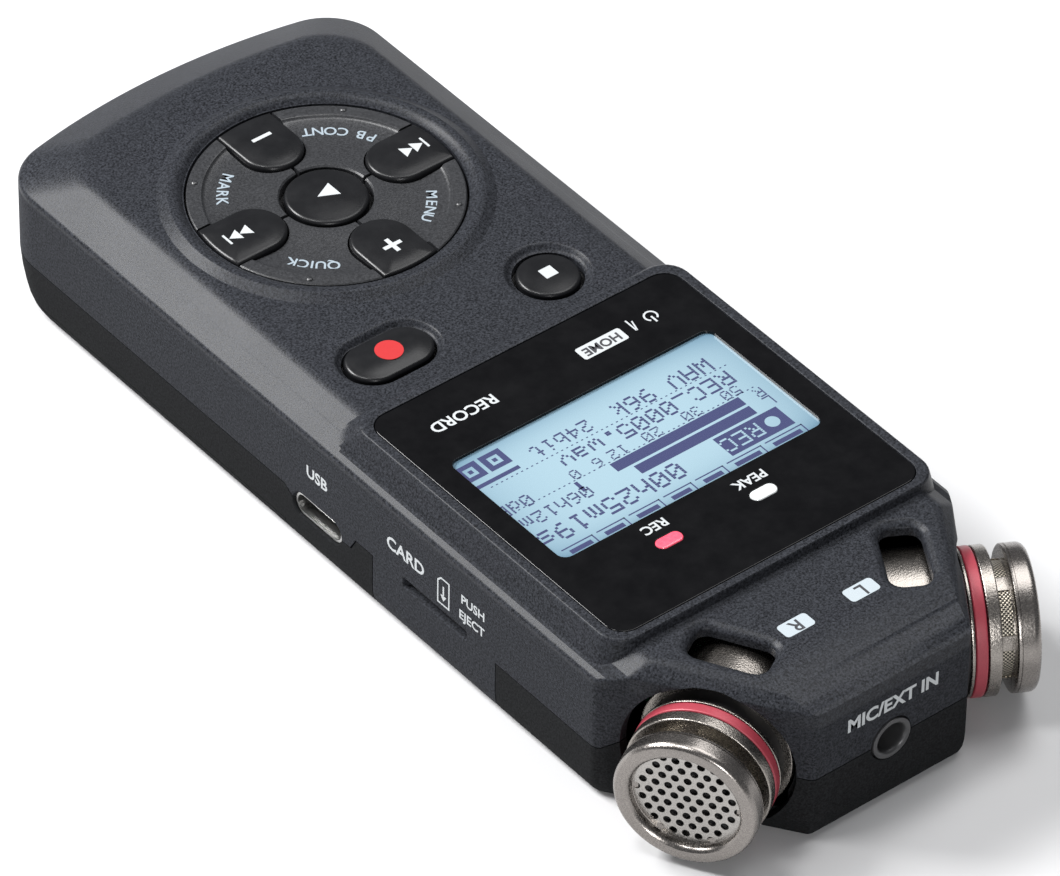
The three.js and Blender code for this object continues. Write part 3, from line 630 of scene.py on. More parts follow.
SHELL = moulding("shell_moulding", (0.0190, 0.0203, 0.0240), 0.34, 0.75, 0.1)
REAR = moulding("rear_moulding", (0.011, 0.0115, 0.0122), 0.42, 0.5, 0.06)
GLOSS = smooth_plastic("window_gloss", (0.002, 0.002, 0.0024), 0.1, Specular_IOR_Level=0.25)
KEYCAP = smooth_plastic("keycap_satin", (0.005, 0.0052, 0.006), 0.3, Specular_IOR_Level=0.3)
PAD = moulding("pad_satin", (0.019, 0.0197, 0.0218), 0.34, 0.4, 0.6)
PRINT = printed("print_white", (0.44, 0.46, 0.47))
KEY_PRINT = printed("print_blue_grey", (0.27, 0.32, 0.36))
BADGE = printed("print_grey", (0.38, 0.43, 0.46))
DARK_PRINT = printed("print_dark", (0.03, 0.03, 0.035))
RED_PRINT = printed("print_red", (0.41, 0.013, 0.015))
LCD_GLASS = lit_glass("lcd_glass", (0.245, 0.35, 0.405), (0.1, 0.18, 0.245), 0.055)
LCD_INK = printed("lcd_ink", (0.022, 0.028, 0.095))
RED_LIGHT = glowing("red_light", (0.55, 0.04, 0.08), 0.4)
WHITE_LIGHT = glowing("white_light", (0.46, 0.48, 0.48), 0.1)
NICKEL = blasted_nickel("nickel", (0.38, 0.35, 0.32), 0.27)
PLATE = blasted_nickel("nickel_plate", (0.33, 0.305, 0.285), 0.26, 0.5)
GRILLE = blasted_nickel("nickel_grille", (0.50, 0.48, 0.455), 0.26)
CRIMSON = anodised("crimson", (0.27, 0.028, 0.044), 0.42)
WIRE = woven_wire("wire_mesh", (0.6, 0.55, 0.46))
STEEL = sheet_metal("steel", (0.5, 0.5, 0.49))
BRASS = sheet_metal("brass", (0.58, 0.42, 0.17), 0.3)
BOARD = circuit_board("board", (0.012, 0.09, 0.04))
RUBBER = rubbery("rubber", (0.02, 0.02, 0.021))
BLACK = smooth_plastic("black_part", (0.008, 0.008, 0.009), 0.45)
JACK = smooth_plastic("jack_ring", (0.06, 0.06, 0.062), 0.34, Metallic=0.5)
CELL_WRAP = cell_wrap("cell_wrap")

# ---- Housing --------------------------------------------------------------------------------

BOW_R = 94.6
CORNER_R = 8.0
CHEEK_NORMAL = Vector((END_Y - CHEEK_Y, HALF_WIDTH - END_HALF)).normalized()
CHEEK_REACH = CHEEK_NORMAL.dot(Vector((HALF_WIDTH, CHEEK_Y)))


def filleted(before, corner, after, r, steps=4):
    """Points that round a corner between two neighbours."""
    corner = Vector(corner)
    a = (Vector(before) - corner).normalized()
    b = (Vector(after) - corner).normalized()
    reach = r / math.tan(a.angle(b) / 2)
    start, end = corner + a * reach, corner + b * reach
    steps_u = [i / steps for i in range(steps + 1)]
    return [tuple((1 - u) ** 2 * start + 2 * u * (1 - u) * corner + u ** 2 * end) for u in steps_u]


def housing_ring(z, side=0.0, tail=0.0, cheek=0.0, end=0.0):
    """One level of the housing, with its insets."""
    half, tail_y, end_y = HALF_WIDTH - side, TAIL_Y + tail, END_Y - end
    tilt = math.degrees(math.asin((half - CORNER_R) / (BOW_R - CORNER_R)))
    corner_y = tail_y + BOW_R - (BOW_R - CORNER_R) * math.cos(math.radians(tilt))
    reach = CHEEK_REACH - cheek
    low = (half, (reach - CHEEK_NORMAL.x * half) / CHEEK_NORMAL.y)
    high = ((reach - CHEEK_NORMAL.y * end_y) / CHEEK_NORMAL.x, end_y)
    right = arc(0, tail_y + BOW_R, BOW_R, -90, -90 + tilt, 10)[1:-1]
    right += arc(half - CORNER_R, corner_y, CORNER_R, -90 + tilt, 0, 14)
    right += filleted((half, 0), low, high, 1.7, 6) + filleted(low, high, (0, end_y), 1.3, 6)
    left = [(-x, y) for x, y in reversed(right)]
    return flat([(0, tail_y)] + right + left, z)


def eased(a, corner, b, u):
    """A point of the curve that rounds the corner between a and b."""
    return (1 - u) ** 2 * a + 2 * u * (1 - u) * corner + u ** 2 * b


def housing_form():
    """The outer form of both mouldings together."""
    base = [
        (0.0, 1.75, 4.4, 1.4, 1.4), (0.1, 1.25, 3.8, 1.0, 1.0), (0.3, 0.9, 3.35, 0.75, 0.75),
        (0.7, 0.55, 2.8, 0.45, 0.45), (1.4, 0.22, 2.1, 0.18, 0.18), (2.4, 0.05, 1.5, 0.04, 0.04),
        (3.4, 0, 1.1, 0, 0), (5.4, 0, 0.4, 0, 0), (PART_Z, 0, 0, 0, 0), (12.0, 0, 0, 0, 0),
    ]
    rings = [housing_ring(*level) for level in base]
    slope = math.atan2(PANEL_Z - FLANK_Z, FLANK_RUN)
    for i in range(5):
        u, soft = i / 4, 0.45
        side = eased(0, 0, soft * math.cos(slope), u)
        z = eased(FLANK_Z - soft, FLANK_Z, FLANK_Z + soft * math.sin(slope), u)
        rings.append(housing_ring(z, side, side * TAIL_RUN / FLANK_RUN))
    for z, cheek in ((CHEEK_TOP_Z - 0.2, 0), (CHEEK_TOP_Z, 0.06), (CHEEK_TOP_Z + 0.2, 0.24)):
        side = (z - FLANK_Z) / math.tan(slope)
        rings.append(housing_ring(z, side, side * TAIL_RUN / FLANK_RUN, cheek))
    cheek_slope = (PANEL_Z - CHEEK_TOP_Z) / CHEEK_RUN
    for i in range(6):
        u, soft = i / 5, 1.1
        drop = soft * math.sin(slope)
        z = eased(PANEL_Z - drop, PANEL_Z, PANEL_Z, u)
        side = eased(FLANK_RUN - soft * math.cos(slope), FLANK_RUN, FLANK_RUN + soft, u)
        cheek = eased(CHEEK_RUN - drop / cheek_slope, CHEEK_RUN, CHEEK_RUN + 0.7, u)
        rings.append(housing_ring(z, side, side * TAIL_RUN / FLANK_RUN, cheek))
    form = loft("housing_form", rings)
    return combined(form, "DIFFERENCE", end_roll())


def end_roll():
    """What is cut away above the shoulder as it rolls down to the microphone end."""
    start, drop, run = 59.0, PANEL_Z - 19.5, END_Y - 59.0
    ys = [start + (run + 1.2) * i / 16 for i in range(17)]
    curve = [(y, PANEL_Z + 0.003 - drop * ((y - start) / run) ** 2.1) for y in ys]
    outline = [(start - 2, PANEL_Z + 0.003)] + curve + [(END_Y + 3, 15), (END_Y + 3, 30), (start - 2, 30)]
    return loft("end_roll", [[(x, y, z) for y, z in outline] for x in (-40, 40)])


def bezel_block():
    """The raised display frame: battered sides, a sloped start and a soft ridge."""
    half, start, end = 24.4, -0.9, 48.7

    def level(z, grow, ahead):
        y0, y1 = start - ahead, end + grow * 0.4
        return flat(rounded_rect(0, (y0 + y1) / 2, half + grow, (y1 - y0) / 2, 3.3 + grow * 0.3, 8), z)

    rings = [level(FLANK_Z - 0.4, 1.36, 4.95), level(BEZEL_Z - 0.4, 0.12, 0.4)]
    for i in range(1, 6):
        u, soft = i / 5, 0.4
        rings.append(level(
            eased(BEZEL_Z - soft, BEZEL_Z, BEZEL_Z, u), eased(0.12, 0, -soft, u), eased(soft, 0, -soft, u),
        ))
    return loft("bezel_block", rings)


def wheel_collar():
    """The soft raised ring round the key wheel."""
    rise, run, crest = 0.82, 1.95, 18.9
    profile = [(16.0, PANEL_Z - 1.0), (crest + run, PANEL_Z - 1.0)]
    for outward, height in ((1, 0), (0.93, 0.015), (0.85, 0.07), (0.24, 0.9), (0.14, 0.98), (0, 1)):
        profile.append((crest + run * outward, PANEL_Z - 0.03 + rise * height))
    for i in range(1, 9):
        u = i / 8
        profile.append((crest - (crest - WHEEL_R) * u, PANEL_Z - 0.03 + rise - 0.95 * u ** 2.0))
    profile.append((16.0, PANEL_Z - 0.6))
    return turned("wheel_collar", profile, 112, 0, WHEEL_Y)


def mic_frame(side):
    """A frame whose +Z is a microphone's axis, from where the two axes cross."""
    return along((side * math.cos(MIC_ANGLE), math.sin(MIC_ANGLE), 0), (0, MIC_Y, MIC_Z))


def mic_rod(side, r, start, end, steps=64):
    return placed(prism("mic_rod", circle(0, 0, r, steps), start, end), mic_frame(side))


def mic_socket(side):
    """The round recess in a cheek, with a small lead-in."""
    profile = [(0, 19.3), (10.35, 19.3), (10.35, 21.35), (10.5, 21.6), (10.9, 26), (0, 26)]
    cutter = placed(turned("socket", profile, 96), mic_frame(side))
    return combined(cutter, "INTERSECT", box("limits", -40, 40, 0, 90, 1.0, 30))


def barrel_bore(side):
    """The bore behind a socket, kept clear of the back."""
    return combined(mic_rod(side, 9.7, 8, 24), "INTERSECT", box("limits", -40, 40, 0, 90, 1.3, 19.8))


def mic_slot(side):
    """The window over a microphone's barrel, with a flared rim."""
    spin = Matrix.Rotation(side * MIC_ANGLE, 4, "Z")

    def level(grow, z):
        outline = rounded_rect(side * 15.1, 0, 2.6 + grow, 5.0 + grow, 1.7 + grow, 6)
        return [tuple(spin @ Vector((x, y, z)) + Vector((0, MIC_Y, 0))) for x, y in outline]

    rings = [level(0, 15.0), level(0, PANEL_Z - 0.9)]
    rings += [level(1.15 * (i / 5) ** 1.5, PANEL_Z - 0.9 + 0.9 * (i / 5) ** 0.8) for i in range(1, 6)]
    return loft("mic_slot", rings + [level(1.5, PANEL_Z + 0.5)])


def side_prism(name, outline, x0, x1):
    """A solid along X from an outline in Y and Z."""
    return loft(name, [[(x, y, z) for y, z in outline] for x in (x0, x1)])


def upper_region(drop):
    """Everything that belongs to the front moulding, lowered by drop where a seam is wanted."""
    usb_z = middle("usb_port")[2]
    right = [
        (-90, PART_Z - drop), (-10.3 - drop, PART_Z - drop), (-8.3 - drop, usb_z - drop),
        (2.3 + drop, usb_z - drop), (3.3 + drop, 8.15 - drop), (6.67 - drop, 8.15 - drop),
        (6.67 - drop, -5), (29.7 + drop, -5),
        (29.7 + drop, PART_Z - drop), (CHEEK_Y + 0.7, PART_Z - drop), (CHEEK_Y + 2.8, MIC_Z - drop),
        (90, MIC_Z - drop), (90, 40), (-90, 40),
    ]
    level = [
        (-90, PART_Z - drop), (CHEEK_Y + 0.7, PART_Z - drop), (CHEEK_Y + 2.8, MIC_Z - drop),
        (90, MIC_Z - drop), (90, 40), (-90, 40),
    ]
    region = side_prism("region", level, -40, 24.6 - drop)
    return combined(region, "UNION", side_prism("region_right", right, 24.6 - drop, 40))


def cavity():
    """The hollow inside both mouldings."""
    rings = [
        housing_ring(1.3, WALL + 1.0, WALL + 3.2, WALL + 0.6, WALL + 0.6),
        housing_ring(3.2, WALL, WALL + 1.2, WALL, WALL),
        housing_ring(16.3, WALL, WALL, WALL, WALL),
        housing_ring(19.6, 7.0, 9.0, WALL + 1.4, WALL + 2.0),
    ]
    return loft("cavity", rings)


def round_cut(name, spot, direction, r, flare, depth, steps=48):
    """A round hole with a flared mouth, cut at a spot along an outward direction."""
    profile = [(0, -depth), (r, -depth), (r, -flare), (r + flare * 0.4, -flare * 0.3), (r + flare, 0.02),
               (r + flare, 3), (0, 3)]
    return placed(turned(name, profile, steps), along(direction, spot))


def slot_cut(name, spot, direction, half_x, half_y, r, flare, depth):
    """A rounded slot with a flared mouth."""
    def level(grow, z):
        return flat(rounded_rect(0, 0, half_x + grow, half_y + grow, r + grow, 6), z)

    rings = [level(0, -depth), level(0, -flare), level(flare * 0.4, -flare * 0.3)]
    rings += [level(flare, 0.02), level(flare, 3)]
    return placed(loft(name, rings), along(direction, spot))


def key_cuts():
    stop_ring = [(0, 18), (4.45, 18), (4.45, 20.55), (4.7, 20.6), (5.0, 20.85), (5.25, 21.2),
                 (5.7, PANEL_Z + 0.03),
                 (6.2, 24), (0, 24)]
    half_x, half_y = 5.9, 3.5

    def level(grow, z):
        across, along_y = half_x + grow, half_y + grow
        return flat(rounded_rect(RECORD[0], RECORD[1], across, along_y, along_y - 0.01, 14), z)

    record = [level(0.35, 18), level(0.35, 20.55), level(0.5, 20.6), level(0.75, 20.85), level(0.95, 21.2),
              level(1.4, PANEL_Z + 0.03), level(1.9, 24)]
    return [
        turned("stop_cut", stop_ring, 64, STOP[0], STOP[1]),
        loft("record_cut", record),
        prism("wheel_cut", circle(0, WHEEL_Y, WHEEL_R, 112), 17, 24),
    ]


def port_cuts():
    """Mouths in the outside of the housing."""
    usb = middle("usb_port")
    card = middle("memory_card")
    phones = middle("phones_jack")
    return [
        slot_cut("usb_cut", (HALF_WIDTH, usb[1], usb[2]), (1, 0, 0), 4.6, 1.75, 1.7, 0.25, 8),
        slot_cut("card_cut", (HALF_WIDTH, card[1], card[2]), (1, 0, 0), 5.95, 0.72, 0.3, 0.15, 8),
        round_cut("phones_cut", (-HALF_WIDTH, phones[1], phones[2]), (-1, 0, 0), 2.95, 0.25, 8),
        round_cut("mic_in_cut", (0, END_Y, MIC_Z), (0, 1, 0), 2.95, 0.2, 8),
    ]


def window_cut():
    cy, half_y = (WINDOW_Y0 + WINDOW_Y1) / 2, (WINDOW_Y1 - WINDOW_Y0) / 2

    def level(grow, z):
        return flat(rounded_rect(0, cy, WINDOW_X + grow, half_y + grow, 2.6 + grow, 8), z)

    return loft("window_cut", [level(0.12, 21.0), level(0.12, BEZEL_Z - 0.1), level(0.3, BEZEL_Z + 0.02),
                               level(0.3, 30)])


def build_housing():
    form = combined(housing_form(), "UNION", bezel_block(), wheel_collar())
    door_form = copied(form, "door_form")
    cuts = key_cuts() + port_cuts() + [window_cut(), mic_socket(1), mic_socket(-1), mic_slot(1), mic_slot(-1)]
    cuts += [barrel_bore(side) for side in (1, -1)]
    combined(form, "DIFFERENCE", cavity(), *back_cuts(), *cuts)
    in_edit(
        form,
        (bpy.ops.mesh.select_all, {"action": "SELECT"}),
        (bpy.ops.mesh.remove_doubles, {"threshold": 3e-6}),
        (bpy.ops.mesh.dissolve_degenerate, {"threshold": 1e-6}),
    )
    rear = copied(form, "rear_moulding")
    combined(form, "INTERSECT", upper_region(0))
    bay = box("bay", -15.3, 15.3, -64.5, -11.4, -1, 16.4)
    combined(rear, "DIFFERENCE", upper_region(SEAM), door_box(SEAM), bay)
    combined(door_form, "INTERSECT", door_box(0))
    form.name = "front_moulding"
    softened(form)
    softened(rear)
    softened(door_form)
    piece(form, "housing", SHELL, "shell", "front_shell")
    piece(rear, "housing", REAR, "rear", "rear_shell")
    door_form.name = "door_moulding"
    piece(door_form, "battery_door", REAR, "rear", "battery_door")


def door_box(grow):
    return box("door_box", -40, 40, -90, DOOR_EDGE_Y + grow, -5, DOOR_Z + grow)


def back_cuts():
    """Openings in the back: the tripod insert, the speaker and the screws."""
    tripod, speaker = middle("tripod_insert"), middle("speaker")
    cuts = [round_cut("tripod_cut", (tripod[0], tripod[1], 0), (0, 0, -1), 4.75, 0.2, 6)]
    for offset in (-6, -3, 0, 3, 6):
        half = math.sqrt(56 - offset * offset)
        cuts.append(slot_cut("sound_slot", (0, speaker[1] + offset, 0), (0, 0, -1), half, 0.55, 0.5, 0.2, 4))
    for i in (1, 2):
        x, y, _ = middle(f"housing_screw_{i}")
        cuts.append(round_cut("screw_cut", (x, y, 0), (0, 0, -1), 2.2, 0.2, 6, 32))
    return cuts


# ---- Display --------------------------------------------------------------------------------


def build_display():
    cy, half_y = (WINDOW_Y0 + WINDOW_Y1) / 2, (WINDOW_Y1 - WINDOW_Y0) / 2
    low = span("display_window", 2)[0]

    def level(grow, z):
        return flat(rounded_rect(0, cy, WINDOW_X + grow, half_y + grow, 2.6 + grow, 10), z)

    window = loft("window_glass", [level(0, low), level(0, WINDOW_Z - 0.12), level(-0.05, WINDOW_Z - 0.03),
                                   level(-0.14, WINDOW_Z)])
    view_y, view_half = (VIEW_Y0 + VIEW_Y1) / 2, (VIEW_Y1 - VIEW_Y0) / 2
    cuts = [prism("view", rounded_rect(0, view_y, VIEW_X, view_half, 1.3, 6), low - 1, 24)]
    for node in ("rec_light_pipe", "peak_light_pipe"):
        x, y, _ = middle(node)
        cuts.append(prism("light_hole", rounded_rect(x, y, 1.92, 0.98, 0.95, 8), low - 1, 24))
    combined(window, "DIFFERENCE", *cuts)
    softened(window, 0.04, 2)
    piece(window, "housing", GLOSS, "gloss", "display_window")
    glass = prism("lcd_face", rounded_rect(0, view_y, VIEW_X + 1, view_half + 1, 0.5, 3), 20.6, LCD_Z)
    softened(glass, 0.05)
    piece(glass, "housing", LCD_GLASS, "lcd", "lcd_module")
    for node, material, slot in (("rec_light_pipe", RED_LIGHT, "red_light"),
                                 ("peak_light_pipe", WHITE_LIGHT, "white_light")):
        x, y, _ = middle(node)
        rings = [flat(rounded_rect(x, y, 1.84 - g, 0.9 - g, 0.88 - g, 8), z)
                 for g, z in ((0, 20), (0, WINDOW_Z - 0.05), (0.08, WINDOW_Z + 0.06), (0.3, WINDOW_Z + 0.12))]
        lens = softened(loft(node.replace("pipe", "lens"), rings))
        piece(lens, "housing", material, slot, node)


# ---- Keys -----------------------------------------------------------------------------------


def domed(name, outline_at, base, top, crown=0.3, reach=2.4, soft=0.5):
    """A key: upright walls, a rounded shoulder and a gently crowned top."""
    rings = [flat(outline_at(0), base), flat(outline_at(0), top - crown - soft)]
    for i in range(1, 6):
        angle = math.radians(90 * i / 5)
        inward, below = soft * (1 - math.cos(angle)), soft * (1 - math.sin(angle))
        rings.append(flat(outline_at(-inward), top - crown - below))
    for i in range(1, 6):
        u = i / 5
        rings.append(flat(outline_at(-soft - (reach - soft) * u), top - crown * (1 - u) ** 2))
    return loft(name, rings)


def wheel_point(x, y, degrees):
    angle = math.radians(degrees)
    return (x * math.cos(angle) - y * math.sin(angle), WHEEL_Y + x * math.sin(angle) + y * math.cos(angle))


def arm_outline(grow, degrees):
    """A cross key: round inside, on the wheel's circle outside."""
    half, outer = 4.05 + grow, 17.0 + grow
    spread = math.degrees(math.asin(half / outer))
    points = arc(0, 0, outer, -spread, spread, 8) + arc(7.0 + 4.05, 0, half, 90, 270, 20)
    return [wheel_point(x, y, degrees) for x, y in points]


def pad_key(name, degrees):
    """A dished quarter between two cross keys, with a raised outer band and a locating nub."""
    profile = [(5.75, 19.55), (17.0, 19.55), (17.0, 21.3), (16.85, 21.42), (15.35, 21.44), (15.15, 21.38),
               (15.0, 21.16), (14.7, 21.02), (13.6, 20.9), (12.0, 20.82), (10.0, 20.86), (8.2, 20.96),
               (6.5, 21.08), (5.95, 21.04), (5.75, 20.85)]
    ring = turned(name, profile, 144, 0, WHEEL_Y)
    wedge = [(0.24, 0.24), (30, 0.24), (30, 30), (0.24, 30)]
    combined(ring, "INTERSECT", prism("wedge", [wheel_point(x, y, degrees) for x, y in wedge], 18, 24))
    for turn in (degrees, degrees + 90):
        combined(ring, "DIFFERENCE", prism("arm_gap", arm_gap(turn), 18, 24))
    nub_x, nub_y = wheel_point(11.4, 11.4, degrees)
    nub = [(0, 21.0), (0.36, 21.0), (0.36, 21.52), (0.25, 21.62), (0, 21.66)]
    combined(ring, "UNION", turned("nub", nub, 20, nub_x, nub_y))
    return ring


def arm_gap(turn):
    half, outer = 4.27, 20.0
    points = [(outer, -half), (outer, half)] + arc(7.0 + 4.05, 0, half, 90, 270, 20)
    return [wheel_point(x, y, turn) for x, y in points]


def build_keys():
    play_top = span("play_key", 2)[1]
    arm_top = span("plus_key", 2)[1]
    play = domed("play_cap", lambda g: circle(0, WHEEL_Y, 5.2 + g, 64), 19.55, play_top, 0.45, 4.8)
    piece(softened(play), "play_key", KEYCAP, "key", "play_key")
    arms = {"forward": 0, "plus": 90, "back": 180, "minus": 270}
    for name, degrees in arms.items():
        cap = domed(f"{name}_cap", lambda g, d=degrees: arm_outline(g, d), 19.55, arm_top, 0.28, 2.6)
        piece(softened(cap), f"{name}_key", KEYCAP, "key", f"{name}_key")
    pads = {"quick": 0, "menu": 90, "playback": 180, "mark": 270}
    for name, degrees in pads.items():
        pad = softened(pad_key(f"{name}_pad", degrees))
        piece(pad, f"{name}_key", PAD, "key", f"{name}_key")
    stop_top = span("stop_key", 2)[1]
    stop = domed("stop_cap", lambda g: circle(STOP[0], STOP[1], 3.95 + g, 56), 19.55, stop_top, 0.3, 3.5)
    piece(softened(stop), "stop_key", KEYCAP, "key", "stop_key")
    record_top = span("record_key", 2)[1]

    def stadium(grow):
        return rounded_rect(RECORD[0], RECORD[1], 5.9 + grow, 3.5 + grow, 3.49 + grow, 14)

    record = domed("record_cap", stadium, 19.55, record_top, 0.4, 3.0)
    piece(softened(record), "record_key", KEYCAP, "record", "record_key")
    well = prism("key_well", circle(0, WHEEL_Y, 18.3, 64), 18.95, 19.1)
    piece(softened(well), "housing", RUBBER, "rubber")


# ---- Printed marks --------------------------------------------------------------------------

KEY_WORD_SIZE = 1.5
GLYPHS = {letter: rows.split() for letter, rows in {
    "0": ".###. #...# #..## #.#.# ##..# #...# .###.", "1": "..#.. .##.. ..#.. ..#.. ..#.. ..#.. .###.",
    "2": ".###. #...# ....# ..##. .#... #.... #####", "3": ".###. #...# ....# ..##. ....# #...# .###.",
    "4": "...#. ..##. .#.#. #..#. ##### ...#. ...#.", "5": "##### #.... ####. ....# ....# #...# .###.",
    "6": "..##. .#... #.... ####. #...# #...# .###.", "9": ".###. #...# #...# .#### ....# ...#. .##..",
    "R": "####. #...# #...# ####. #.#.. #..#. #...#", "E": "##### #.... #.... ####. #.... #.... #####",
    "C": ".###. #...# #.... #.... #.... #...# .###.", "L": "#.... #.... #.... #.... #.... #.... #####",
    "W": "#...# #...# #...# #.#.# #.#.# ##.## #...#", "A": ".###. #...# #...# ##### #...# #...# #...#",
    "V": "#...# #...# #...# #...# #...# .#.#. ..#..", "B": "####. #...# #...# ####. #...# #...# ####.",
    "_": "..... ..... ..... ..... ..... ..... #####", ".": "..... ..... ..... ..... ..... .##.. .##..",
    "h": "#.... #.... #.##. ##..# #...# #...# #...#", "m": "..... ..... ##.#. #.#.# #.#.# #.#.# #.#.#",
    "s": "..... ..... .#### #.... .###. ....# ####.", "d": "....# ....# .##.# #..## #...# #..## .##.#",
    "w": "..... ..... #...# #...# #.#.# #.#.# .#.#.", "a": "..... ..... .###. ....# .#### #...# .####",
    "v": "..... ..... #...# #...# #...# .#.#. ..#..", "k": "#.... #.... #..#. #.#.. ##... #.#.. #..#.",
    "b": "#.... #.... #.##. ##..# #...# #...# ####.", "i": "..#.. ..... .##.. ..#.. ..#.. ..#.. .###.",
    "t": ".#... .#... ###.. .#... .#... .#..# ..##.", " ": "..... ..... ..... ..... ..... ..... .....",
}.items()}


def mark_frame(spot, out=(0, 0, 1), up=(0, 1, 0)):
    return along(out, spot, up)


def lettering(text, size, spot, out=(0, 0, 1), up=(0, 1, 0), thick=0.012, stretch=1.0, bold=0.0, spacing=1.0):
    """Raised ink in the shape of a word, centred on a spot."""
    deselect()
    bpy.ops.object.text_add()
    obj = bpy.context.object
    data = obj.data
    data.body = text
    data.size = size * 1.38
    data.align_x, data.align_y = "CENTER", "CENTER"
    data.extrude = thick
    data.offset = bold
    data.space_character = spacing
    data.resolution_u = 3
    bpy.ops.object.convert(target="MESH")
    obj = bpy.context.object
    obj.matrix_world = mark_frame(spot, out, up) @ Matrix.Diagonal((MM * stretch, MM, MM, 1))
    return settle(obj)


def inked(outline, spot, out=(0, 0, 1), up=(0, 1, 0), thick=0.012):
    """Raised ink in the shape of an outline."""
    return placed(prism("ink", outline, -thick, thick), mark_frame(spot, out, up))


def build_key_marks():
    top = span("play_key", 2)[1] - 0.01
    triangle = [(-1.2, -1.28), (1.4, 0), (-1.2, 1.28)]
    piece(renamed(inked(triangle, (0, WHEEL_Y, top), thick=0.05), "play_mark"), "play_key", PRINT, "key")
    arm_top = span("plus_key", 2)[1] - 0.02
    reach, side_reach, long, short = 12.9, 13.95, 1.3, 0.29
    cross = [(short, -long), (short, -short), (long, -short), (long, short), (short, short), (short, long)]
    cross += [(-x, -y) for x, y in cross]
    plus = inked(cross, (0, WHEEL_Y + reach, arm_top), thick=0.06)
    piece(renamed(plus, "plus_mark"), "plus_key", PRINT, "key")
    minus = inked(rounded_rect(0, 0, long + 0.1, 0.27, 0.05, 1), (0, WHEEL_Y - reach, arm_top), thick=0.06)
    piece(renamed(minus, "minus_mark"), "minus_key", PRINT, "key")
    for name, side in (("forward", 1), ("back", -1)):
        arrow = [(-0.75 * side, -0.95 * side), (0.75 * side, 0), (-0.75 * side, 0.95 * side)]
        parts = [
            inked(arrow, (side * (side_reach + dx), WHEEL_Y, arm_top), thick=0.06) for dx in (-1.5, 0.05)
        ]
        bar = rounded_rect(0, 0, 0.14, 0.98, 0.03, 1)
        parts.append(inked(bar, (side * (side_reach + 1.1), WHEEL_Y, arm_top), thick=0.06))
        piece(gathered(f"{name}_mark", parts), f"{name}_key", PRINT, "key")
    stop_at = (STOP[0], STOP[1], span("stop_key", 2)[1] - 0.01)
    stop = inked(rounded_rect(0, 0, 0.9, 0.9, 0.05, 1), stop_at, thick=0.04)
    piece(renamed(stop, "stop_mark"), "stop_key", PRINT, "key")
    dot_at = (RECORD[0], RECORD[1], span("record_key", 2)[1] - 0.01)
    dot = inked(circle(0, 0, 1.75, 40), dot_at, thick=0.04)
    piece(renamed(dot, "record_mark"), "record_key", RED_PRINT, "record")
    for name, word, turn in (("quick", "QUICK", 45), ("menu", "MENU", 135), ("playback", "PB CONT", 225),
                             ("mark", "MARK", 315)):
        curved_word(name, word, turn)


def renamed(obj, name):
    obj.name = name
    return obj


def curved_word(name, word, turn):
    """A word set along the pad's arc, upright on the upper pads and the right way round below."""
    radius, gap = 12.7, 0.34
    flip = 180 < turn < 360
    widths = [letter_width(letter) for letter in word]
    along_arc = -(sum(widths) + gap * (len(word) - 1)) / 2
    letters = []
    for letter, width in zip(word, widths):
        step = math.degrees((along_arc + width / 2) / radius)
        along_arc += width + gap
        if letter == " ":
            continue
        x, y = wheel_point(radius, 0, turn + step if flip else turn - step)
        out = Vector((x, y - WHEEL_Y, 0)).normalized()
        up = tuple(-out if flip else out)
        letters.append(lettering(letter, KEY_WORD_SIZE, (x, y, 20.86), up=up, thick=0.03, bold=0.025))
    piece(gathered(f"{name}_mark", letters), f"{name}_key", KEY_PRINT, "key")


def letter_width(letter):
    """How wide a letter of a key word is."""
    return KEY_WORD_SIZE * {"I": 0.22, " ": 0.35, "M": 0.95, "Q": 0.9, "O": 0.9}.get(letter, 0.72)


def build_window_marks():
    z = WINDOW_Z + 0.004
    parts = [
        lettering("RECORD", 1.75, (12.8, 6.1, z), bold=0.045),
        lettering("REC", 1.45, (7.75, 35.2, z), bold=0.04),
        lettering("PEAK", 1.45, (-6.2, 35.7, z), bold=0.04),
        lettering("/ |", 1.7, (-12.9, 6.1, z), bold=0.02, spacing=0.6),
        inked(rounded_rect(0, 0, 3.35, 1.15, 0.35, 4), (-7.9, 6.4, z)),
        power_ring((-15.7, 6.0, z)),
    ]
    piece(gathered("window_print", parts), "housing", PRINT, "gloss")
    home = lettering("HOME", 1.4, (-7.9, 6.4, z + 0.02), bold=0.05)
    piece(renamed(home, "home_word"), "housing", DARK_PRINT, "gloss")


def power_ring(spot):
    """The power symbol: a broken ring with a stroke."""
    outer, inner = arc(0, 0, 0.95, 125, 415, 28), arc(0, 0, 0.7, 415, 125, 28)
    stroke = inked(rounded_rect(0, 0.65, 0.13, 0.6, 0.03, 1), spot)
    return gathered("power", [inked(outer + inner, spot), stroke])


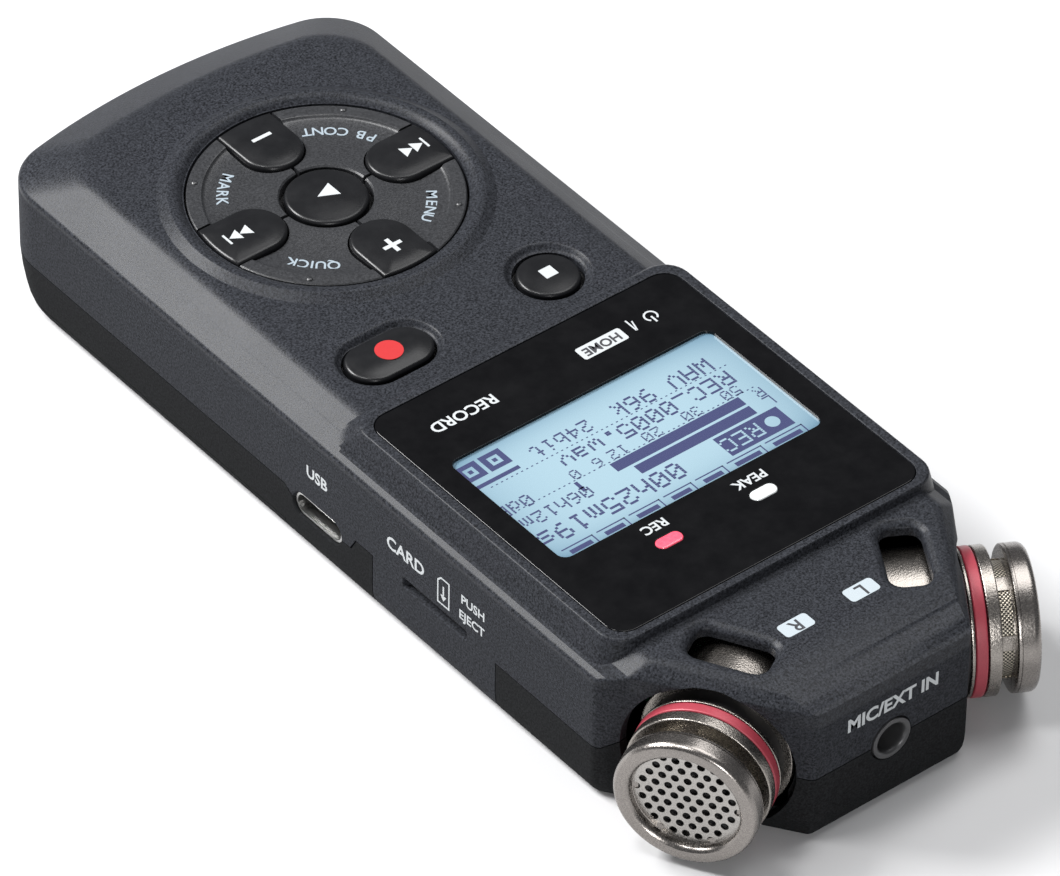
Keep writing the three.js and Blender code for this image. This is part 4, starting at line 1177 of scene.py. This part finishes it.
def build_labels():
    z = PANEL_Z + 0.004
    badges = [inked(rounded_rect(0, 0, 2.15, 1.15, 0.5, 4), (side * 4.9, 57.4, z)) for side in (1, -1)]
    piece(gathered("side_badges", badges), "housing", BADGE, "shell")
    letters = [
        lettering(word, 1.85, (side * 4.9, 57.4, z + 0.02), bold=0.04) for word, side in (("R", 1), ("L", -1))
    ]
    piece(gathered("badge_letters", letters), "housing", DARK_PRINT, "shell")
    side = HALF_WIDTH + 0.004
    usb = middle("usb_port")
    out, up = (1, 0, 0), (0, 0, 1)
    parts = [
        lettering("USB", 1.7, (side, usb[1], 12.6), out, up, bold=0.05),
        lettering("CARD", 1.9, (side, 12.85, 12.4), out, up, bold=0.055),
        lettering("PUSH", 1.35, (side, 25.5, 13.2), out, up, bold=0.035),
        lettering("EJECT", 1.35, (side, 25.3, 10.7), out, up, bold=0.035),
        lettering("MIC/EXT IN", 1.95, (0, END_Y + 0.004, MIC_Z + 5.5), (0, 1, 0), up, bold=0.08),
        card_icon((side, 20.0, 11.8)),
    ]
    phones = middle("phones_jack")
    parts.append(lettering("PHONES", 1.5, (-side, phones[1], 12.9), (-1, 0, 0), up, bold=0.015))
    piece(gathered("housing_print", parts), "housing", PRINT, "shell")


def card_icon(spot):
    """An outlined card with a cut corner and an arrow that points into the slot."""
    outer = [(-1.15, -2.1), (1.15, -2.1), (1.15, 2.1), (-0.5, 2.1), (-1.15, 1.45)]
    inner = [(-0.93, -1.88), (0.93, -1.88), (0.93, 1.88), (-0.41, 1.88), (-0.93, 1.36)]
    out, up = (1, 0, 0), (0, 0, 1)
    frame_line = inked(outer, spot, out, up)
    combined(frame_line, "DIFFERENCE", inked(inner, spot, out, up, thick=0.1))
    arrow = inked([(-0.55, -0.55), (0.55, -0.55), (0, -1.4)], spot, out, up)
    shaft = inked([(-0.13, -0.6), (0.13, -0.6), (0.13, 0.9), (-0.13, 0.9)], spot, out, up)
    return gathered("card_icon", [frame_line, arrow, shaft])


def lcd_blocks(name, rects, low=0.004, high=0.01):
    """Oblongs (x0, x1, y0, y1) on the display's face, all laid down in one edit session."""
    middle_z, height = LCD_Z + (low + high) / 2, high - low

    def lay(x0, x1, y0, y1):
        bpy.ops.mesh.primitive_cube_add(
            size=MM, location=((x0 + x1) / 2 * MM, (y0 + y1) / 2 * MM, middle_z * MM),
            scale=(x1 - x0, y1 - y0, height),
        )

    lay(*rects[0])
    obj = bpy.context.object
    obj.name = name
    bpy.ops.object.transform_apply(location=True, rotation=True, scale=True)
    bpy.ops.object.mode_set(mode="EDIT")
    for rect in rects[1:]:
        lay(*rect)
    bpy.ops.object.mode_set(mode="OBJECT")
    return obj


def dotted(text, x, y, dot, gap=1):
    """Words in the display's dot letters, five dots wide and seven high, from a left end and a foot."""
    rows = []
    for index, letter in enumerate(text):
        left = x + index * (5 + gap) * dot
        for level, bits in enumerate(reversed(GLYPHS[letter])):
            start = None
            for column in range(6):
                lit = column < 5 and bits[column] != "."
                if lit and start is None:
                    start = column
                if not lit and start is not None:
                    bottom = y + level * dot
                    rows.append((left + start * dot, left + column * dot - 0.04, bottom, bottom + dot - 0.04))
                    start = None
    return rows


def build_screen():
    """What the display shows, read with the microphones up."""
    parts = dotted("WAV 96k", -16.0, 15.3, 0.36) + dotted("24bit", 2.0, 15.3, 0.3)
    parts += dotted("REC_0005.wav", -16.6, 18.6, 0.36)
    parts += dotted("00h25m19s", -1.6, 27.6, 0.40) + dotted("06h12m", 9.2, 24.4, 0.29)
    parts += dotted("L", -17.9, 25.2, 0.24) + dotted("R", -17.9, 23.4, 0.24) + dotted("0dB", 15.6, 21.3, 0.29)
    for x, word in ((-15.9, "50"), (-9.9, "30"), (-3.9, "20"), (1.2, "12"), (5.0, "6"), (8.4, "0")):
        parts += dotted(word, x, 21.4, 0.24)
    parts += [(-14.8, 2.7, 25.3, 26.9), (-14.8, 4.7, 23.3, 24.9), (9.6, 10.1, 23.3, 25.2)]
    for i in range(48):
        x = -17.4 + i * 0.75
        parts += [(x, x + 0.28, 22.95, 23.1), (x, x + 0.28, 17.9, 18.05)]
    tabs = ((-17.6, 5.6), (-11.4, 5.2), (-5.6, 4.2), (-0.8, 4.2), (4.0, 4.6), (9.2, 4.2), (14.0, 4.6))
    for x, width in tabs:
        parts += [(x, x + width, 31.5, 31.68), (x, x + 0.18, 31.5, 33.2)]
        parts.append((x + 0.7, x + width - 0.7, 32.1, 32.8))
    parts.append((13.2, 19.6, 16.8, 17.4))
    tiles = [(13.2, 16.3, 13.0, 15.9), (16.8, 19.9, 13.0, 15.9)]
    parts += [(x + 1.25, x + 1.85, 14.15, 14.75) for x in (13.2, 16.8)]
    badge = lcd_blocks("badge", [(-17.2, -7.6, 27.3, 31.0)] + tiles)
    holes = dotted("REC", -13.4, 28.0, 0.34) + [(x + 0.8, x + 2.3, 13.7, 15.2) for x in (13.2, 16.8)]
    disc = placed(prism("disc", circle(0, 0, 0.95, 24), -0.1, 0.1), mark_frame((-15.2, 29.15, LCD_Z)))
    combined(badge, "DIFFERENCE", lcd_blocks("badge_holes", holes, -0.2, 0.2), disc)
    piece(gathered("lcd_segments", [badge, lcd_blocks("ink", parts)]), "housing", LCD_INK, "lcd")


# ---- Microphones ----------------------------------------------------------------------------


def sleeve_profile(outer, inner, start, end, bevel):
    """A ring's section with rounded outer edges."""
    rounded = [(outer - bevel + bevel * math.sin(a), start + bevel - bevel * math.cos(a))
               for a in (0, math.pi / 6, math.pi / 3, math.pi / 2)]
    back = [(r, start + end - z) for r, z in reversed(rounded)]
    return [(inner, start)] + rounded + back + [(inner, end)]


def build_barrel(label, side):
    profile = [(8.2, 11.0), (9.2, 11.0), (9.4, 11.2), (9.4, 19.2), (9.3, 19.36), (9.15, 19.4), (8.2, 19.4)]
    barrel = placed(turned(f"{label}_barrel", profile, 112), mic_frame(side))
    combined(barrel, "INTERSECT", box("limits", -40, 40, 0, 90, 1.6, 30))
    piece(softened(barrel), "housing", NICKEL, "nickel", f"mic_{label}_barrel")
    # Painted shade: a black sleeve fills the recess between barrel and lip, standing in for the shadow deep
    # in the socket.
    profile = sleeve_profile(8.35, 6.4, 19.0, 21.75, 0.1)
    neck = placed(turned(f"{label}_neck", profile, 96), mic_frame(side))
    piece(softened(neck), "housing", BLACK, "black_part")
    profile = sleeve_profile(8.92, 6.4, 21.72, 22.16, 0.12)
    lip = placed(turned(f"{label}_lip", profile, 112), mic_frame(side))
    combined(lip, "INTERSECT", box("limits", -40, 40, 0, 90, 1.3, 30))
    piece(softened(lip), "housing", NICKEL, "nickel")


def build_ring(label, side):
    profile = sleeve_profile(8.92, 6.6, 22.24, 23.7, 0.22)
    ring = placed(turned(f"{label}_ring", profile, 112), mic_frame(side))
    piece(softened(ring), "housing", CRIMSON, "crimson", f"mic_{label}_ring")
    profile = sleeve_profile(8.92, 6.4, 23.8, 25.4, 0.2)
    collar = placed(turned(f"{label}_collar", profile, 112), mic_frame(side))
    piece(softened(collar), "housing", NICKEL, "nickel", f"mic_{label}_collar")


def build_band(label, side):
    """The neck between collar and cap: woven wire behind six ribs."""
    wire = turned(f"{label}_wire", sleeve_profile(6.86, 6.3, 25.3, 27.3, 0.02), 96)
    unroll(wire, 6.86)
    placed(wire, mic_frame(side))
    piece(softened(wire), "housing", WIRE, "mesh", f"mic_{label}_band")
    ribs = turned(f"{label}_ribs", sleeve_profile(7.05, 6.6, 25.35, 27.25, 0.02), 96)
    for i in range(6):
        gap = box("gap", 5, 10, -2.7, 2.7, 25.5, 27.1)
        combined(ribs, "DIFFERENCE", placed(gap, Matrix.Rotation(math.radians(60 * i + 12), 4, "Z")))
    placed(ribs, mic_frame(side))
    piece(softened(ribs), "housing", NICKEL, "nickel")


def unroll(obj, r):
    """Gives a turned piece a map in millimetres: distance round the axis, and along it."""
    layer = obj.data.uv_layers.new(name="unrolled")
    for polygon in obj.data.polygons:
        centre = math.atan2(polygon.center.y, polygon.center.x)
        for loop in polygon.loop_indices:
            point = obj.data.vertices[obj.data.loops[loop].vertex_index].co
            angle = math.atan2(point.y, point.x)
            angle += round((centre - angle) / math.tau) * math.tau
            layer.data[loop].uv = (angle * r, point.z / MM)


def build_cap(label, side):
    profile = [(6.0, 27.2), (8.35, 27.2), (8.6, 27.23), (8.78, 27.35), (8.82, 27.5), (8.82, 27.62),
               (8.7, 27.66), (8.7, 27.74), (8.82, 27.78), (8.82, 29.2), (8.78, 29.5), (8.62, 29.82),
               (8.42, 30.0), (8.2, 30.06), (7.2, 30.06), (7.1, 30.02), (6.78, 29.7), (6.7, 29.5),
               (6.68, 28.9), (6.45, 28.75), (6.0, 28.7)]
    cap = placed(turned(f"{label}_cap", profile, 128), mic_frame(side))
    piece(softened(cap), "housing", PLATE, "nickel", f"mic_{label}_cap")
    face = placed(grille(f"{label}_grille"), mic_frame(side))
    piece(face, "housing", GRILLE, "nickel", f"mic_{label}_grille")
    gauze = turned(f"{label}_gauze", [(0, 27.7), (6.3, 27.7), (6.3, 27.9), (0, 27.9)], 48)
    backing = placed(gauze, mic_frame(side))
    piece(softened(backing), "housing", BLACK, "black_part")


def grille(name):
    """A perforated disc: round holes on a hexagonal grid."""
    pitch, hole, rim = 1.55, 0.5, 6.72
    disc = prism(name, circle(0, 0, rim, 96), 28.5, 28.85)
    holes = []
    for row in range(-5, 6):
        for column in range(-6, 7):
            x = (column + 0.5 * (row % 2)) * pitch
            y = row * pitch * math.sqrt(3) / 2
            if math.hypot(x, y) < rim - 0.35:
                holes.append(prism("hole", circle(x, y, hole, 16), 28, 30))
    combined(disc, "DIFFERENCE", gathered("holes", holes))
    return softened(disc)


def build_microphones():
    for label, side in (("right", 1), ("left", -1)):
        build_barrel(label, side)
        build_ring(label, side)
        build_band(label, side)
        build_cap(label, side)


# ---- Sockets and the rest of the frame ------------------------------------------------------


def build_jack(name, spot, direction, depth, node):
    profile = [(1.95, -depth), (2.85, -depth), (2.85, -0.05), (2.78, 0.1), (2.62, 0.16), (2.3, 0.14),
               (2.12, 0.0), (2.02, -0.25), (1.95, -0.6)]
    ring = placed(turned(name, profile, 64), along(direction, spot))
    piece(softened(ring), "housing", JACK, "jack_ring", node)
    plug = turned(f"{name}_throat", [(0, -depth), (1.9, -depth), (1.9, -depth + 0.4), (0, -depth + 0.4)], 24)
    piece(softened(placed(plug, along(direction, spot))), "housing", BLACK, "black_part")


def paint_frame():
    """Better materials on the CAD nodes that stay in sight."""
    finishes = {
        "keypad_sheet": RUBBER, "main_board": BOARD, "io_board": BOARD, "usb_port": STEEL,
        "card_socket": STEEL,
        "memory_card": BLACK, "speaker": BLACK, "tripod_insert": BRASS, "battery_right": CELL_WRAP,
        "battery_left": CELL_WRAP, "contact_spring": STEEL, "contact_tab": STEEL, "contact_bridge": STEEL,
        "mic_right_capsule": BLACK, "mic_left_capsule": BLACK,
    }
    finishes.update({f"housing_screw_{i}": STEEL for i in range(1, 5)})
    for node, material in finishes.items():
        slots = NODES[node].material_slots
        for entry in slots:
            entry.material = material


def add_floor():
    f = Finish("studio_floor", (0.56, 0.56, 0.565), 0.6)
    f.set("Roughness", f.noise(40.0) * 0.1 + 0.55)
    deselect()
    bpy.ops.mesh.primitive_plane_add(size=6, location=(0, 0, -0.0001))
    floor = bpy.context.object
    floor.name = "floor"
    floor.data.materials.append(f.material)


add_camera()
add_studio()
add_floor()
build_housing()
build_display()
build_keys()
build_key_marks()
build_window_marks()
build_labels()
build_screen()
build_microphones()
build_jack("mic_in_ring", (0, END_Y, MIC_Z), (0, 1, 0), 4.4, "mic_input_jack")
build_jack("phones_ring", (-HALF_WIDTH, *middle("phones_jack")[1:]), (-1, 0, 0), 4.4, "phones_jack")
paint_frame()
